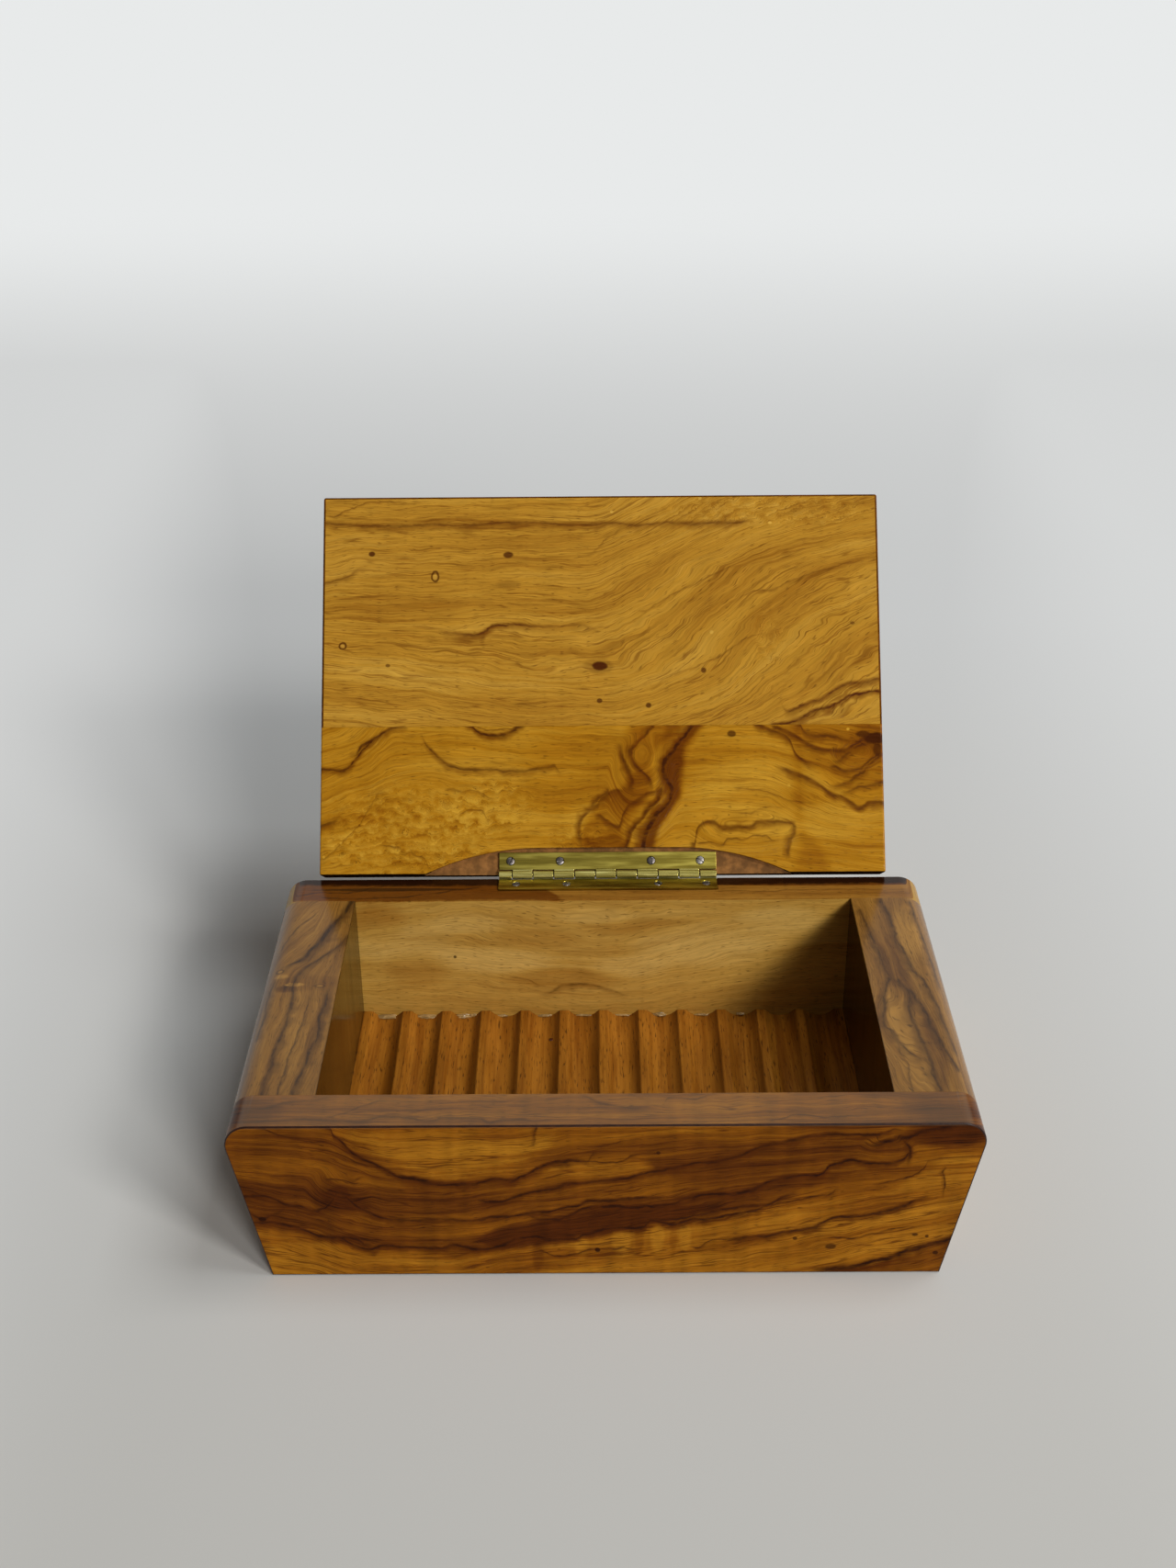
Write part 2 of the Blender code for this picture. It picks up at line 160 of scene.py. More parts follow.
class Graph:
    """The node graph of one material or of the world."""

    def __init__(self, owner: Union[bpy.types.Material, bpy.types.World]) -> None:
        """Empties the graph of its owner.

        Args:
            owner: The material or world that the nodes are added to.
        """
        self.owner = owner
        owner.use_nodes = True
        self.tree = owner.node_tree
        self.tree.nodes.clear()

    @classmethod
    def material(cls, name: str) -> "Graph":
        """The graph of a new material."""
        return cls(bpy.data.materials.new(name))

    def add(
        self, kind: str, settings: Optional[dict] = None, inputs: Optional[dict] = None
    ) -> bpy.types.Node:
        """Adds a node.

        Args:
            kind: Type of the node.
            settings: Its options, set first. "stops" fills a ramp and "points" a curve.
            inputs: Numbers, colours, signals or sockets for its inputs, by name or place.

        Returns:
            The node.
        """
        node = self.tree.nodes.new(kind)
        for option, value in (settings or {}).items():
            if option == "stops":
                self._fill_ramp(node.color_ramp, value)
            elif option == "points":
                self._fill_curve(node.mapping, value)
            else:
                setattr(node, option, value)
        for place, value in (inputs or {}).items():
            self._feed(node.inputs[place], value)
        return node

    def _feed(self, socket: bpy.types.NodeSocket, value: object) -> None:
        """Links or sets one input.

        Args:
            socket: The input.
            value: A signal or socket to link, or the input's own value.
        """
        source = value.socket if isinstance(value, Signal) else value
        if isinstance(source, bpy.types.NodeSocket):
            self.tree.links.new(source, socket)
        else:
            socket.default_value = (*source, 1.0) if socket.type == "RGBA" else source

    @staticmethod
    def _fill_ramp(ramp: bpy.types.ColorRamp, stops: Sequence[tuple[float, Colour]]) -> None:
        """Gives a ramp its stops.

        Args:
            ramp: The ramp.
            stops: Pairs of position and colour.
        """
        while len(ramp.elements) < len(stops):
            ramp.elements.new(1.0)
        for element, (position, colour) in zip(ramp.elements, stops):
            element.position = position
            element.color = (*colour, 1.0)

    @staticmethod
    def _fill_curve(mapping: bpy.types.CurveMapping, points: Sequence[tuple[float, float]]) -> None:
        """Gives a curve its points.

        Args:
            mapping: The curve's mapping.
            points: Pairs of position and value, in order of position.
        """
        mapping.use_clip = False
        mapping.extend = "HORIZONTAL"
        line = mapping.curves[0]
        while len(line.points) < len(points):
            line.points.new(*points[-1])
        for point, place in zip(line.points, points):
            point.location = place
            point.handle_type = "AUTO_CLAMPED"
        mapping.update()

    def maths(self, operation: str, *values: Operand) -> Signal:
        """A Math node."""
        node = self.add("ShaderNodeMath", {"operation": operation}, dict(enumerate(values)))
        return Signal(self, node.outputs[0])

    def place(self) -> bpy.types.NodeSocket:
        """The place on the piece, in metres."""
        return self.add("ShaderNodeTexCoord").outputs["Object"]

    def apart(self, vector: bpy.types.NodeSocket) -> tuple[Signal, Signal, Signal]:
        """The three parts of a vector."""
        parts = self.add("ShaderNodeSeparateXYZ", None, {0: vector}).outputs
        return tuple(Signal(self, part) for part in parts)

    def millimetres(self) -> tuple[Signal, Signal, Signal]:
        """X, Y and Z of the place on the piece, in millimetres."""
        return tuple(part * (1.0 / MM) for part in self.apart(self.place()))

    def vector(self, x: Operand, y: Operand, z: Operand) -> bpy.types.NodeSocket:
        """A vector from three numbers."""
        return self.add("ShaderNodeCombineXYZ", None, {0: x, 1: y, 2: z}).outputs[0]

    def noise(
        self, place: bpy.types.NodeSocket, detail: float, roughness: float = 0.5, scale: float = 1.0
    ) -> Signal:
        """Smooth noise around 0.5."""
        inputs = {"Vector": place, "Scale": scale, "Detail": detail, "Roughness": roughness}
        return Signal(self, self.add("ShaderNodeTexNoise", None, inputs).outputs[0])

    def mix(self, factor: Operand, first: Tint, second: Tint, blend: str = "MIX") -> bpy.types.NodeSocket:
        """Blends two colours."""
        settings = {"data_type": "RGBA", "blend_type": blend}
        return self.add("ShaderNodeMix", settings, {0: factor, 6: first, 7: second}).outputs[2]

    def shaded(self, colour: Tint, light: Signal) -> bpy.types.NodeSocket:
        """A colour made lighter or darker by a factor."""
        return self.mix(1.0, colour, self.vector(light, light, light), "MULTIPLY")

    def bump(self, height: Signal, strength: float, distance: float) -> bpy.types.NodeSocket:
        """A normal from a height, with the distance in millimetres."""
        inputs = {"Strength": strength, "Distance": distance * MM, "Height": height}
        return self.add("ShaderNodeBump", None, inputs).outputs[0]

    def seen(self) -> tuple[Signal, Signal]:
        """Tells how a place is looked at.

        Returns:
            Two signals: 1 where the camera looks straight, and 1 where it looks straight, by gloss or
            through glass.
        """
        rays = self.add("ShaderNodeLightPath").outputs
        ways = ("Camera", "Glossy", "Transmission")
        straight, gloss, glass = (Signal(self, rays[f"Is {way} Ray"]) for way in ways)
        return straight, straight.most(gloss).most(glass)

    def blended(self, share: Signal, first: bpy.types.Node, second: bpy.types.Node, output: str) -> None:
        """Ends the graph with two shaders, the second one by its share."""
        both = self.add("ShaderNodeMixShader", None, {0: share, 1: first.outputs[0], 2: second.outputs[0]})
        self.add(output, None, {"Surface": both.outputs[0]})

    def finish(self, **inputs: object) -> bpy.types.Material:
        """Ends the graph with the Principled shader.

        Args:
            inputs: Values and links of its inputs, with underscores for the spaces in their names.

        Returns:
            The finished material.
        """
        named = {name.replace("_", " "): value for name, value in inputs.items()}
        principled = self.add("ShaderNodeBsdfPrincipled", None, named)
        self.add("ShaderNodeOutputMaterial", None, {"Surface": principled.outputs[0]})
        return self.owner


# Frames and figures of the boards


@dataclass(frozen=True)
class BoardFrame:
    """Where a board's u, v and w start, in millimetres, and how they are turned."""

    origin: tuple[float, float, float]
    degrees: tuple[float, float, float]

    def matrix(self) -> Matrix:
        """Places what is drawn in u, v and w."""
        turn = Euler([math.radians(angle) for angle in self.degrees]).to_matrix().to_4x4()
        return Matrix.Translation(self.origin) @ turn

    def read(self, graph: Graph) -> tuple[Signal, Signal, Signal]:
        """Reads the board's frame inside a material.

        Args:
            graph: The material's graph.

        Returns:
            u, v and w in millimetres.
        """
        inputs = {
            "Vector": graph.place(),
            "Location": [value * MM for value in self.origin],
            "Rotation": [math.radians(angle) for angle in self.degrees],
            "Scale": (MM, MM, MM),
        }
        return graph.apart(graph.add("ShaderNodeMapping", {"vector_type": "TEXTURE"}, inputs).outputs[0])


class Axis(Enum):
    """The way a vein runs, along the board or across it."""

    ALONG = 0
    ACROSS = 1


class Stroke(Enum):
    """How broad and dark a vein is: half width of its core, half width of its skirt, and both depths."""

    HAIR = (0.20, 0.9, 0.60, 0.45)
    LINE = (0.38, 2.1, 0.80, 0.85)
    CORD = (0.65, 3.2, 0.95, 0.95)
    BAND = (0.90, 4.6, 0.10, 0.95)
    RIBBON = (0.50, 2.0, 0.60, 0.95)

    def veins(self, *rows: tuple, axis: Axis = Axis.ALONG) -> tuple["Vein", ...]:
        """Veins of this stroke, each row its strength and then its points."""
        return tuple(Vein(self, strength, tuple(points), axis) for strength, *points in rows)


@dataclass(frozen=True)
class Vein:
    """A vein through (u, v) points, each with its own share of the strength where a third number is given."""

    stroke: Stroke
    strength: float
    points: Points
    axis: Axis

    def ordered(self) -> Line:
        """The points as (position, height, strength), in order of position."""
        main, other = (0, 1) if self.axis is Axis.ALONG else (1, 0)
        return sorted((p[main], p[other], self.strength * (p[2] if len(p) > 2 else 1.0)) for p in self.points)


@dataclass(frozen=True)
class Oval:
    """An oval on a board: its middle, its half width and its half height."""

    u: float
    v: float
    width: float
    height: float

    def away(self, u: Signal, across: Signal) -> Signal:
        """How far a place lies from the middle.

        Args:
            u: Place along the board.
            across: Place across it.

        Returns:
            The squared distance, 1 on the rim.
        """
        sideways = (u - self.u) * (1.0 / self.width)
        upwards = (across - self.v) * (1.0 / self.height)
        return sideways * sideways + upwards * upwards


@dataclass(frozen=True)
class Knot(Oval):
    """A dark spot, or a pale one with a depth below 0, or with ring set a ring round a pale centre."""

    depth: float = 0.9
    ring: bool = False


@dataclass(frozen=True)
class Swell(Oval):
    """A dome in the growth rings, which draws closed figures round its centre."""

    rise: float


@dataclass(frozen=True)
class Patch(Oval):
    """An area that is darker (depth above 0) or paler (below 0)."""

    depth: float


@dataclass(frozen=True)
class Zone:
    """An area between two curves that is darker (depth above 0) or paler (below 0), with soft borders."""

    depth: float
    low: Points
    high: Points
    soft: float = 1.6
    axis: Axis = Axis.ALONG

    def share(self, u: Signal, across: Signal) -> Signal:
        """How far a place lies inside.

        Args:
            u: Place along the board.
            across: Place across it.

        Returns:
            A share from 0 to 1.
        """
        main, other = (u, across) if self.axis is Axis.ALONG else (across, u)
        first, second = (0, 1) if self.axis is Axis.ALONG else (1, 0)
        edges = (sorted((point[first], point[second]) for point in side) for side in (self.low, self.high))
        low, high = (main.along(edge) if len(edge) > 1 else edge[0][1] for edge in edges)
        above = (other - low).ease(-self.soft * 0.4, self.soft)
        return above * (high - other).ease(-self.soft * 0.4, self.soft)


@dataclass(frozen=True)
class Guide:
    """How far the grain has risen along the board, as (u, rise) pairs, at one place across it."""

    v: float
    points: tuple[tuple[float, float], ...]


def each(kind: Callable[..., object], *rows: tuple) -> tuple:
    """One knot, patch or other mark for each row of its values."""
    return tuple(kind(*row) for row in rows)


@dataclass(frozen=True)
class Figure:
    """All that is particular to one board: the run of its grain, its veins, knots and patches."""

    guides: tuple[Guide, ...]
    veins: tuple[Vein, ...]
    knots: tuple[Knot, ...] = ()
    swells: tuple[Swell, ...] = ()
    patches: tuple[Patch, ...] = ()
    burl: tuple[Patch, ...] = ()
    zones: tuple[Zone, ...] = ()
    ground: float = 0.55
    boldness: float = 0.5
    lines: float = 0.5
    seed: float = 0.0
    shear_from: Optional[float] = None
    shear_over: float = 5.0

    def tracks(self) -> list[tuple[Axis, Stroke, list[Line]]]:
        """Groups the veins so that those which don't meet share two curves.

        Returns:
            Rows of axis, stroke and the ordered veins of one track.
        """
        apart = 6.0
        rows: list[tuple[Axis, Stroke, list[Line]]] = []
        for vein in sorted(self.veins, key=lambda vein: vein.ordered()[0][0]):
            line = vein.ordered()
            for axis, stroke, lines in rows:
                if axis is vein.axis and stroke is vein.stroke and lines[-1][-1][0] + apart < line[0][0]:
                    lines.append(line)
                    break
            else:
                rows.append((vein.axis, vein.stroke, [line]))
        return rows


class Weave(Enum):
    """Smooth noise in wood: its reach along and across the grain in millimetres, seed, detail, roughness."""

    WANDER = (14.0, 7.0, 0.0, 2.0, 0.5)
    ROUGH = (3.0, 2.6, 3.0, 3.0, 0.55)
    BROAD = (55.0, 6.5, 1.0, 1.0, 0.5)
    RINGS = (60.0, 2.1, 2.0, 3.0, 0.62)
    FIBRE = (9.0, 0.42, 0.0, 1.0, 0.5)
    PORES = (2.6, 0.24, 5.0, 0.0, 0.5)
    GROWTH = (60.0, 2.4, 9.0, 2.0, 0.5)
    FINER = (34.0, 1.1, 10.0, 1.0, 0.5)
    COMING = (16.0, 2.2, 6.0, 1.0, 0.5)
    WAVES = (4.2, 26.0, 11.0, 1.0, 0.5)
    SWAY = (6.0, 6.0, 7.0, 2.0, 0.55)
    QUIVER = (1.6, 1.0, 8.0, 1.0, 0.5)
    FADING = (5.0, 2.5, 4.0, 2.0, 0.6)


class Drawing:
    """One board's figure inside a material, with its faces folded out into one plane of u and across."""

    def __init__(self, graph: Graph, frame: BoardFrame, figure: Figure) -> None:
        """Reads the place on the board and folds its thickness out.

        Args:
            graph: The material's graph.
            frame: The board's frame.
            figure: Its figure.
        """
        self.graph = graph
        self.figure = figure
        self.u, self.v, w = frame.read(graph)
        if figure.shear_from is not None:
            w = w * self.v.ease(figure.shear_from, figure.shear_from + figure.shear_over)
        self.across = self.v - w

    def weave(self, kind: Weave, over: Optional[Signal] = None, wide: Optional[float] = None) -> Signal:
        """Noise of one kind.

        Args:
            kind: Its kind.
            over: What it follows across the board, the plain place where nothing is given.
            wide: Its reach across, where it isn't that of its kind.

        Returns:
            The noise.
        """
        reach, reach_across, seed, detail, roughness = kind.value
        over = (over or self.across) / (wide or reach_across)
        place = self.graph.vector(self.u / reach, over, self.figure.seed + seed)
        return self.graph.noise(place, detail, roughness)

    def grain(self, wander: Signal) -> Signal:
        """Follows the grain, which rises between the guides on either side and round the swells.

        Args:
            wander: Noise that makes it wander.

        Returns:
            Place across the grain in millimetres.
        """
        guides = self.figure.guides
        lines = [self.u.along(guide.points) for guide in guides]
        rise = lines[0]
        for low, high, before, after in zip(guides, guides[1:], lines, lines[1:]):
            rise = rise + (after - before) * self.across.span(low.v, high.v)
        swing, skirt = 3.2, 1.6
        grain = self.across - rise + (wander - 0.5) * swing
        for swell in self.figure.swells:
            grain = grain + swell.away(self.u, self.across).ease(skirt, 0.0) * swell.rise
        return grain

    def patches(self, patches: Sequence[Patch]) -> Signal:
        """Sum of soft ovals."""
        parts = [patch.away(self.u, self.across).ease(1.5, 0.1) * patch.depth for patch in patches]
        return reduce(Signal.__add__, parts)

    def veins(self, fibre: Signal) -> tuple[Signal, Signal]:
        """Draws the veins.

        Args:
            fibre: The fine grain, which frays them.

        Returns:
            Strength of the soft brown beside the veins, and of their dark cores.
        """
        run_out, drag = 2.0, 0.6
        sway = self.weave(Weave.SWAY)
        offset = (sway - 0.5) * 1.9 + (self.weave(Weave.QUIVER) - 0.5) * 0.5
        places = {
            Axis.ALONG: (self.u - offset * drag, self.across + offset),
            Axis.ACROSS: (self.across - offset * drag, self.u + offset),
        }
        breadth = sway.span(0.3, 0.7, 1.5, 0.7)
        skirts, cores = [], []
        for axis, stroke, lines in self.figure.tracks():
            half_core, half_skirt, core_depth, skirt_depth = stroke.value
            heights: list[tuple[float, float]] = []
            strengths: list[tuple[float, float]] = []
            for line in lines:
                strengths.append((line[0][0] - run_out, 0.0))
                heights += [(position, height) for position, height, _ in line]
                strengths += [(position, strength) for position, _, strength in line]
                strengths.append((line[-1][0] + run_out, 0.0))
            position, height = places[axis]
            painted_side_light = (height - position.along(heights)) * breadth
            strength = position.along(strengths)
            skirt = (painted_side_light * 1.5).most(painted_side_light * -0.8).ease(half_skirt, half_skirt * 0.2)
            skirts.append(skirt * strength * skirt_depth)
            cores.append(abs(painted_side_light).ease(half_core * 1.7, half_core * 0.3) * strength * core_depth)
        fray = fibre.span(0.3, 0.7, 0.75, 1.15)
        fading = self.weave(Weave.FADING).span(0.34, 0.56, 0.3, 1.15)
        return (largest(skirts) * fray).least(1.0), (largest(cores) * fray * fading).least(1.0)

    def knots(self, rough: Signal) -> tuple[Operand, Operand]:
        """Draws the knots.

        Args:
            rough: Noise that frays their rims.

        Returns:
            Strength of their dark wood, and of the pale spots and centres of rings.
        """
        fray = 1.2
        dark, pale = [], []
        for knot in self.figure.knots:
            away = knot.away(self.u, self.across) + (rough - 0.5) * fray
            if knot.depth < 0:
                pale.append(away.ease(1.4, 0.5) * -knot.depth)
            elif knot.ring:
                pale.append(away.ease(0.5, 0.1) * 0.5)
                dark.append(away.ease(0.25, 0.7) * away.ease(1.6, 1.0) * knot.depth)
            else:
                dark.append(away.ease(1.5, 0.5) * knot.depth)
        return largest(dark), largest(pale)


# Finishes


@dataclass(frozen=True)
class OliveWood:
    """Lacquered olive wood, from its pale wood to the lines between growth rings."""

    pale: Colour
    middle: Colour
    deep: Colour
    brown: Colour
    dark: Colour
    lacquer: float
    lacquer_from: float = -1.0
    lacquer_border: float = 0.6
    roughness: float = 0.22
    ring_width: float = 2.1
    painted_inner_shade: float = 1.0
    ripple: float = 0.12
    broad_contrast: float = 2.2
    ring_contrast: float = 2.4
    burl_bend: float = 7.0
    burl_shade: float = 1.5
    painted_sheen: float = 0.0
    painted_sheen_colour: Colour = paint(172, 144, 98)

    def material(self, name: str, frame: BoardFrame, figure: Figure) -> bpy.types.Material:
        """Builds the wood of one board.

        Args:
            name: Name of the material.
            frame: The board's frame.
            figure: The board's figure.

        Returns:
            The material.
        """
        graph = Graph.material(name)
        board = Drawing(graph, frame, figure)
        wander, rough = board.weave(Weave.WANDER), board.weave(Weave.ROUGH)
        grain = board.grain(wander)
        burl = (rough - 0.5) * board.patches(figure.burl) if figure.burl else None
        if burl:
            grain = grain + burl * self.burl_bend
        broad, rings = board.weave(Weave.BROAD, grain), board.weave(Weave.RINGS, grain, self.ring_width)
        fibre, pores = board.weave(Weave.FIBRE, grain), board.weave(Weave.PORES, grain)

        # the light and dark of the ground
        tone = (broad - 0.5) * (self.broad_contrast * figure.boldness)
        tone = tone + (rings - 0.5) * (self.ring_contrast * figure.boldness) + figure.ground
        uneven = wander * 1.6 + rough * 0.9 + fibre * 0.7 + rings * 0.8 - 2.0
        for zone in figure.zones:
            tone = tone - zone.share(board.u, board.across + uneven * zone.soft) * zone.depth
        tone = tone - board.patches(figure.patches)
        if burl:
            tone = tone + burl * self.burl_shade
        stops = ((0.0, self.brown), (0.28, self.deep), (0.56, self.middle), (0.9, self.pale))
        colour = graph.add("ShaderNodeValToRGB", {"stops": stops}, {0: tone}).outputs[0]

        # growth lines, broad ones and then thin ones that come and go
        lines = rings.ease(0.43, 0.36) * broad.ease(0.62, 0.42)
        colour = graph.mix(lines * (0.9 * figure.boldness), colour, self.brown)
        growth, finer = board.weave(Weave.GROWTH, grain), board.weave(Weave.FINER, grain)
        coming = board.weave(Weave.COMING, grain)
        thin = abs(growth - 0.5).ease(0.022, 0.003) + abs(growth - 0.58).ease(0.022, 0.003)
        fine = abs(finer - 0.52).ease(0.035, 0.005) * coming.ease(0.66, 0.42) * 0.5
        thin = thin * coming.ease(0.36, 0.62) + fine
        thin = thin + abs(finer - 0.44).ease(0.05, 0.012) * tone.ease(0.34, 0.14) * 0.9
        thin = (thin * figure.lines).least(1.0)
        colour = graph.mix(thin, colour, graph.mix(tone.ease(0.35, 0.0), self.brown, self.dark))

        # veins and knots
        skirts, cores = board.veins(fibre)
        spots, pale_spots = board.knots(rough)
        marks = ((skirts, self.brown), (cores, self.dark), (spots, self.dark), (pale_spots, self.pale))
        for share, tint in marks:
            colour = graph.mix(share, colour, tint)

        # fibres, waves across them, pores and lacquer
        waves = board.weave(Weave.WAVES, board.across)
        colour = graph.shaded(colour, (fibre - 0.5) * 0.6 + (waves - 0.5) * self.ripple + 1.0)
        colour = graph.mix(pores.ease(0.34, 0.22) * 0.5, colour, self.dark)
        # painted shade: the inner faces of the end blocks are darkened, as they lie in shade
        if self.painted_inner_shade < 1.0:
            colour = graph.shaded(colour, board.v.span(0.05, 0.3, self.painted_inner_shade, 1.0))
        lacquered = board.v.ease(self.lacquer_from, self.lacquer_from + self.lacquer_border)
        # painted sheen: the lacquered top is greyed towards a pale colour, as if it reflected the pale
        # background
        if self.painted_sheen:
            colour = graph.mix(lacquered * self.painted_sheen, colour, self.painted_sheen_colour)
        return graph.finish(
            Base_Color=colour,
            Roughness=self.roughness + (fibre - 0.5) * 0.16 + cores * 0.08,
            Specular_IOR_Level=0.05,
            Coat_Weight=lacquered * self.lacquer,
            Coat_Roughness=0.14,
            Normal=graph.bump(fibre * 0.5 - pores.ease(0.36, 0.24), 0.25, 0.04),
        )


@dataclass(frozen=True)
class RubbedEdge:
    """The dark line of lacquer and handling along an eased edge, other dull, mottled surfaces, and painted
    shade.
    """

    colour: Colour
    roughness: float = 0.36
    shine: float = 0.25

    def material(self, name: str) -> bpy.types.Material:
        """Builds the material, mottled over a few millimetres.

        Args:
            name: Its name.

        Returns:
            The material.
        """
        graph = Graph.material(name)
        mottle = graph.noise(graph.place(), 3.0, 0.6, 420.0)
        lighter = tuple(min(1.0, part * 2.0) for part in self.colour)
        return graph.finish(
            Base_Color=graph.mix(mottle.ease(0.35, 0.75), self.colour, lighter),
            Roughness=self.roughness + (mottle - 0.5) * 0.2,
            Specular_IOR_Level=self.shine,
        )


@dataclass(frozen=True)
class StraightWood:
    """Plain reddish floor wood with straight grain and fine open pores, one side of each groove painted
    darker as shade.
    """

    light: Colour
    deep: Colour
    pore: Colour
    pitch: float
    roughness: float = 0.42
    groove_shade: float = 0.42

    def material(self, name: str) -> bpy.types.Material:
        """Builds the material, its grain running front to back.

        Args:
            name: Its name.

        Returns:
            The material.
        """
        graph = Graph.material(name)
        x, y, z = graph.millimetres()
        sway = graph.noise(graph.vector(x / 9.0, y / 40.0, z / 9.0), 1.0)
        side = x + (sway - 0.5) * 2.0
        bands = graph.noise(graph.vector(side / 3.2, y / 70.0, z / 2.5), 3.0, 0.6)
        fibre = graph.noise(graph.vector(side / 0.5, y / 14.0, z / 0.6), 1.0)
        pores = graph.noise(graph.vector(side / 0.28, y / 3.0, z / 0.3), 0.0)
        colour = graph.mix((bands * 0.7 + fibre * 0.3).ease(0.32, 0.68), self.deep, self.light)
        colour = graph.mix(pores.ease(0.36, 0.22) * 0.7, colour, self.pore)
        # painted shade: the side of each groove that faces away from the light is darkened
        lane = graph.maths("FRACT", (x + (fibre - 0.5) * 0.5) / self.pitch)
        painted_groove_shade = lane.ease(0.55, 0.86) * lane.ease(0.93, 0.88) * self.groove_shade
        return graph.finish(
            Base_Color=graph.mix(painted_groove_shade, colour, self.pore),
            Roughness=self.roughness + (fibre - 0.5) * 0.2,
            Specular_IOR_Level=0.2,
            Normal=graph.bump(fibre * 0.5 - pores.ease(0.38, 0.24), 0.4, 0.05),
        )


@dataclass(frozen=True)
class RolledMetal:
    """Rolled or plated metal: drawn lines along X, and stains."""

    clean: Colour
    stained: Colour
    roughness: float
    stain_share: float = 0.5
    metallic: float = 1.0

    def material(self, name: str) -> bpy.types.Material:
        """Builds the material, drawn lines over stains.

        Args:
            name: Its name.

        Returns:
            The material.
        """
        graph = Graph.material(name)
        x, y, z = graph.millimetres()
        drawn = graph.noise(graph.vector(x / 12.0, y / 0.12, z / 0.12), 2.0)
        stains = graph.noise(graph.vector(x / 16.0, y / 1.6, z / 1.6), 3.0, 0.55)
        low = 0.5 + (0.5 - self.stain_share) * 0.3
        colour = graph.mix(stains.ease(low + 0.12, low - 0.12), self.clean, self.stained)
        return graph.finish(
            Base_Color=graph.shaded(colour, (drawn - 0.5) * 0.2 + 1.0),
            Metallic=self.metallic,
            Roughness=self.roughness + (stains - 0.5) * 0.2 + (drawn - 0.5) * 0.1,
            Normal=graph.bump(drawn, 0.1, 0.02),
        )


@dataclass(frozen=True)
class DriedGlue:
    """Hard, cloudy glue or resin that was squeezed out."""

    colour: Colour

    def material(self, name: str) -> bpy.types.Material:
        """Builds the material, cloudy right through.

        Args:
            name: Its name.

        Returns:
            The material.
        """
        graph = Graph.material(name)
        cloud = graph.noise(graph.place(), 3.0, 0.6, 500.0)
        deeper = tuple(part * 0.55 for part in self.colour)
        return graph.finish(
            Base_Color=graph.mix(cloud.ease(0.35, 0.65), deeper, self.colour),
            Roughness=0.22 + (cloud - 0.5) * 0.2,
            Normal=graph.bump(cloud, 0.3, 0.2),
        )


# Shaping


class Outline:
    """A flat outline drawn point by point and arc by arc, in the plane of X and Y."""

    def __init__(self, x: float, y: float) -> None:
        """Starts the outline at a point."""
        self.mesh = bmesh.new()
        self.verts = [self.mesh.verts.new((x, y, 0.0))]

    def line(self, *places: tuple[float, float]) -> "Outline":
        """Goes straight to each place in turn.

        Args:
            places: Pairs of X and Y.

        Returns:
            The same outline.
        """
        for x, y in places:
            vert = self.mesh.verts.new((x, y, 0.0))
            self.mesh.edges.new((self.verts[-1], vert))
            self.verts.append(vert)
        return self

    def arc(self, x: float, y: float, degrees: float, steps: int) -> "Outline":
        """Swings round a centre.

        Args:
            x: X of the centre.
            y: Y of the centre.
            degrees: How far, anticlockwise if positive.
            steps: Steps of the arc.

        Returns:
            The same outline.
        """
        known = set(self.mesh.verts)
        spin(self.mesh, [self.verts[-1]], (x, y, 0.0), math.radians(degrees), steps, False)
        fresh = [vert for vert in self.mesh.verts if vert not in known]
        while fresh:
            here = self.verts[-1]
            step = next(edge.other_vert(here) for edge in here.link_edges if edge.other_vert(here) in fresh)
            fresh.remove(step)
            self.verts.append(step)
        return self

    def solid(self, depth: float) -> "Solid":
        """Closes the outline, fills it and sweeps it along Z.

        Args:
            depth: Length of the sweep, with its sign.

        Returns:
            The solid.
        """
        self.mesh.edges.new((self.verts[-1], self.verts[0]))
        self.mesh.faces.new(self.verts)
        swept = bmesh.ops.extrude_face_region(self.mesh, geom=self.mesh.faces[:])
        moved = [item for item in swept["geom"] if isinstance(item, bmesh.types.BMVert)]
        bmesh.ops.translate(self.mesh, verts=moved, vec=(0.0, 0.0, depth))
        return Solid(self.mesh)


def spin(
    mesh: bmesh.types.BMesh, geom: list, centre: Sequence[float], angle: float, steps: int, merge: bool
) -> None:
    """Spins points or edges about an axis along Z.

    Args:
        mesh: The mesh.
        geom: What is spun.
        centre: A place on the axis.
        angle: The sweep in radians.
        steps: Steps of the sweep.
        merge: True to join the last step to the first.
    """
    bmesh.ops.spin(
        mesh, geom=geom, cent=centre, axis=(0.0, 0.0, 1.0), angle=angle, steps=steps, use_merge=merge
    )


def as_mesh(mesh: bmesh.types.BMesh, name: str) -> bpy.types.Mesh:
    """Copies a mesh under work.

    Args:
        mesh: The mesh under work.
        name: Name of the copy.

    Returns:
        The copy, as a mesh of the file.
    """
    made = bpy.data.meshes.new(name)
    mesh.to_mesh(made)
    return made


def shown(name: str, data: bpy.types.ID) -> bpy.types.Object:
    """Adds an object to the scene.

    Args:
        name: Its name.
        data: Its mesh, lamp or camera.

    Returns:
        The object.
    """
    made = bpy.data.objects.new(name, data)
    bpy.context.scene.collection.objects.link(made)
    return made


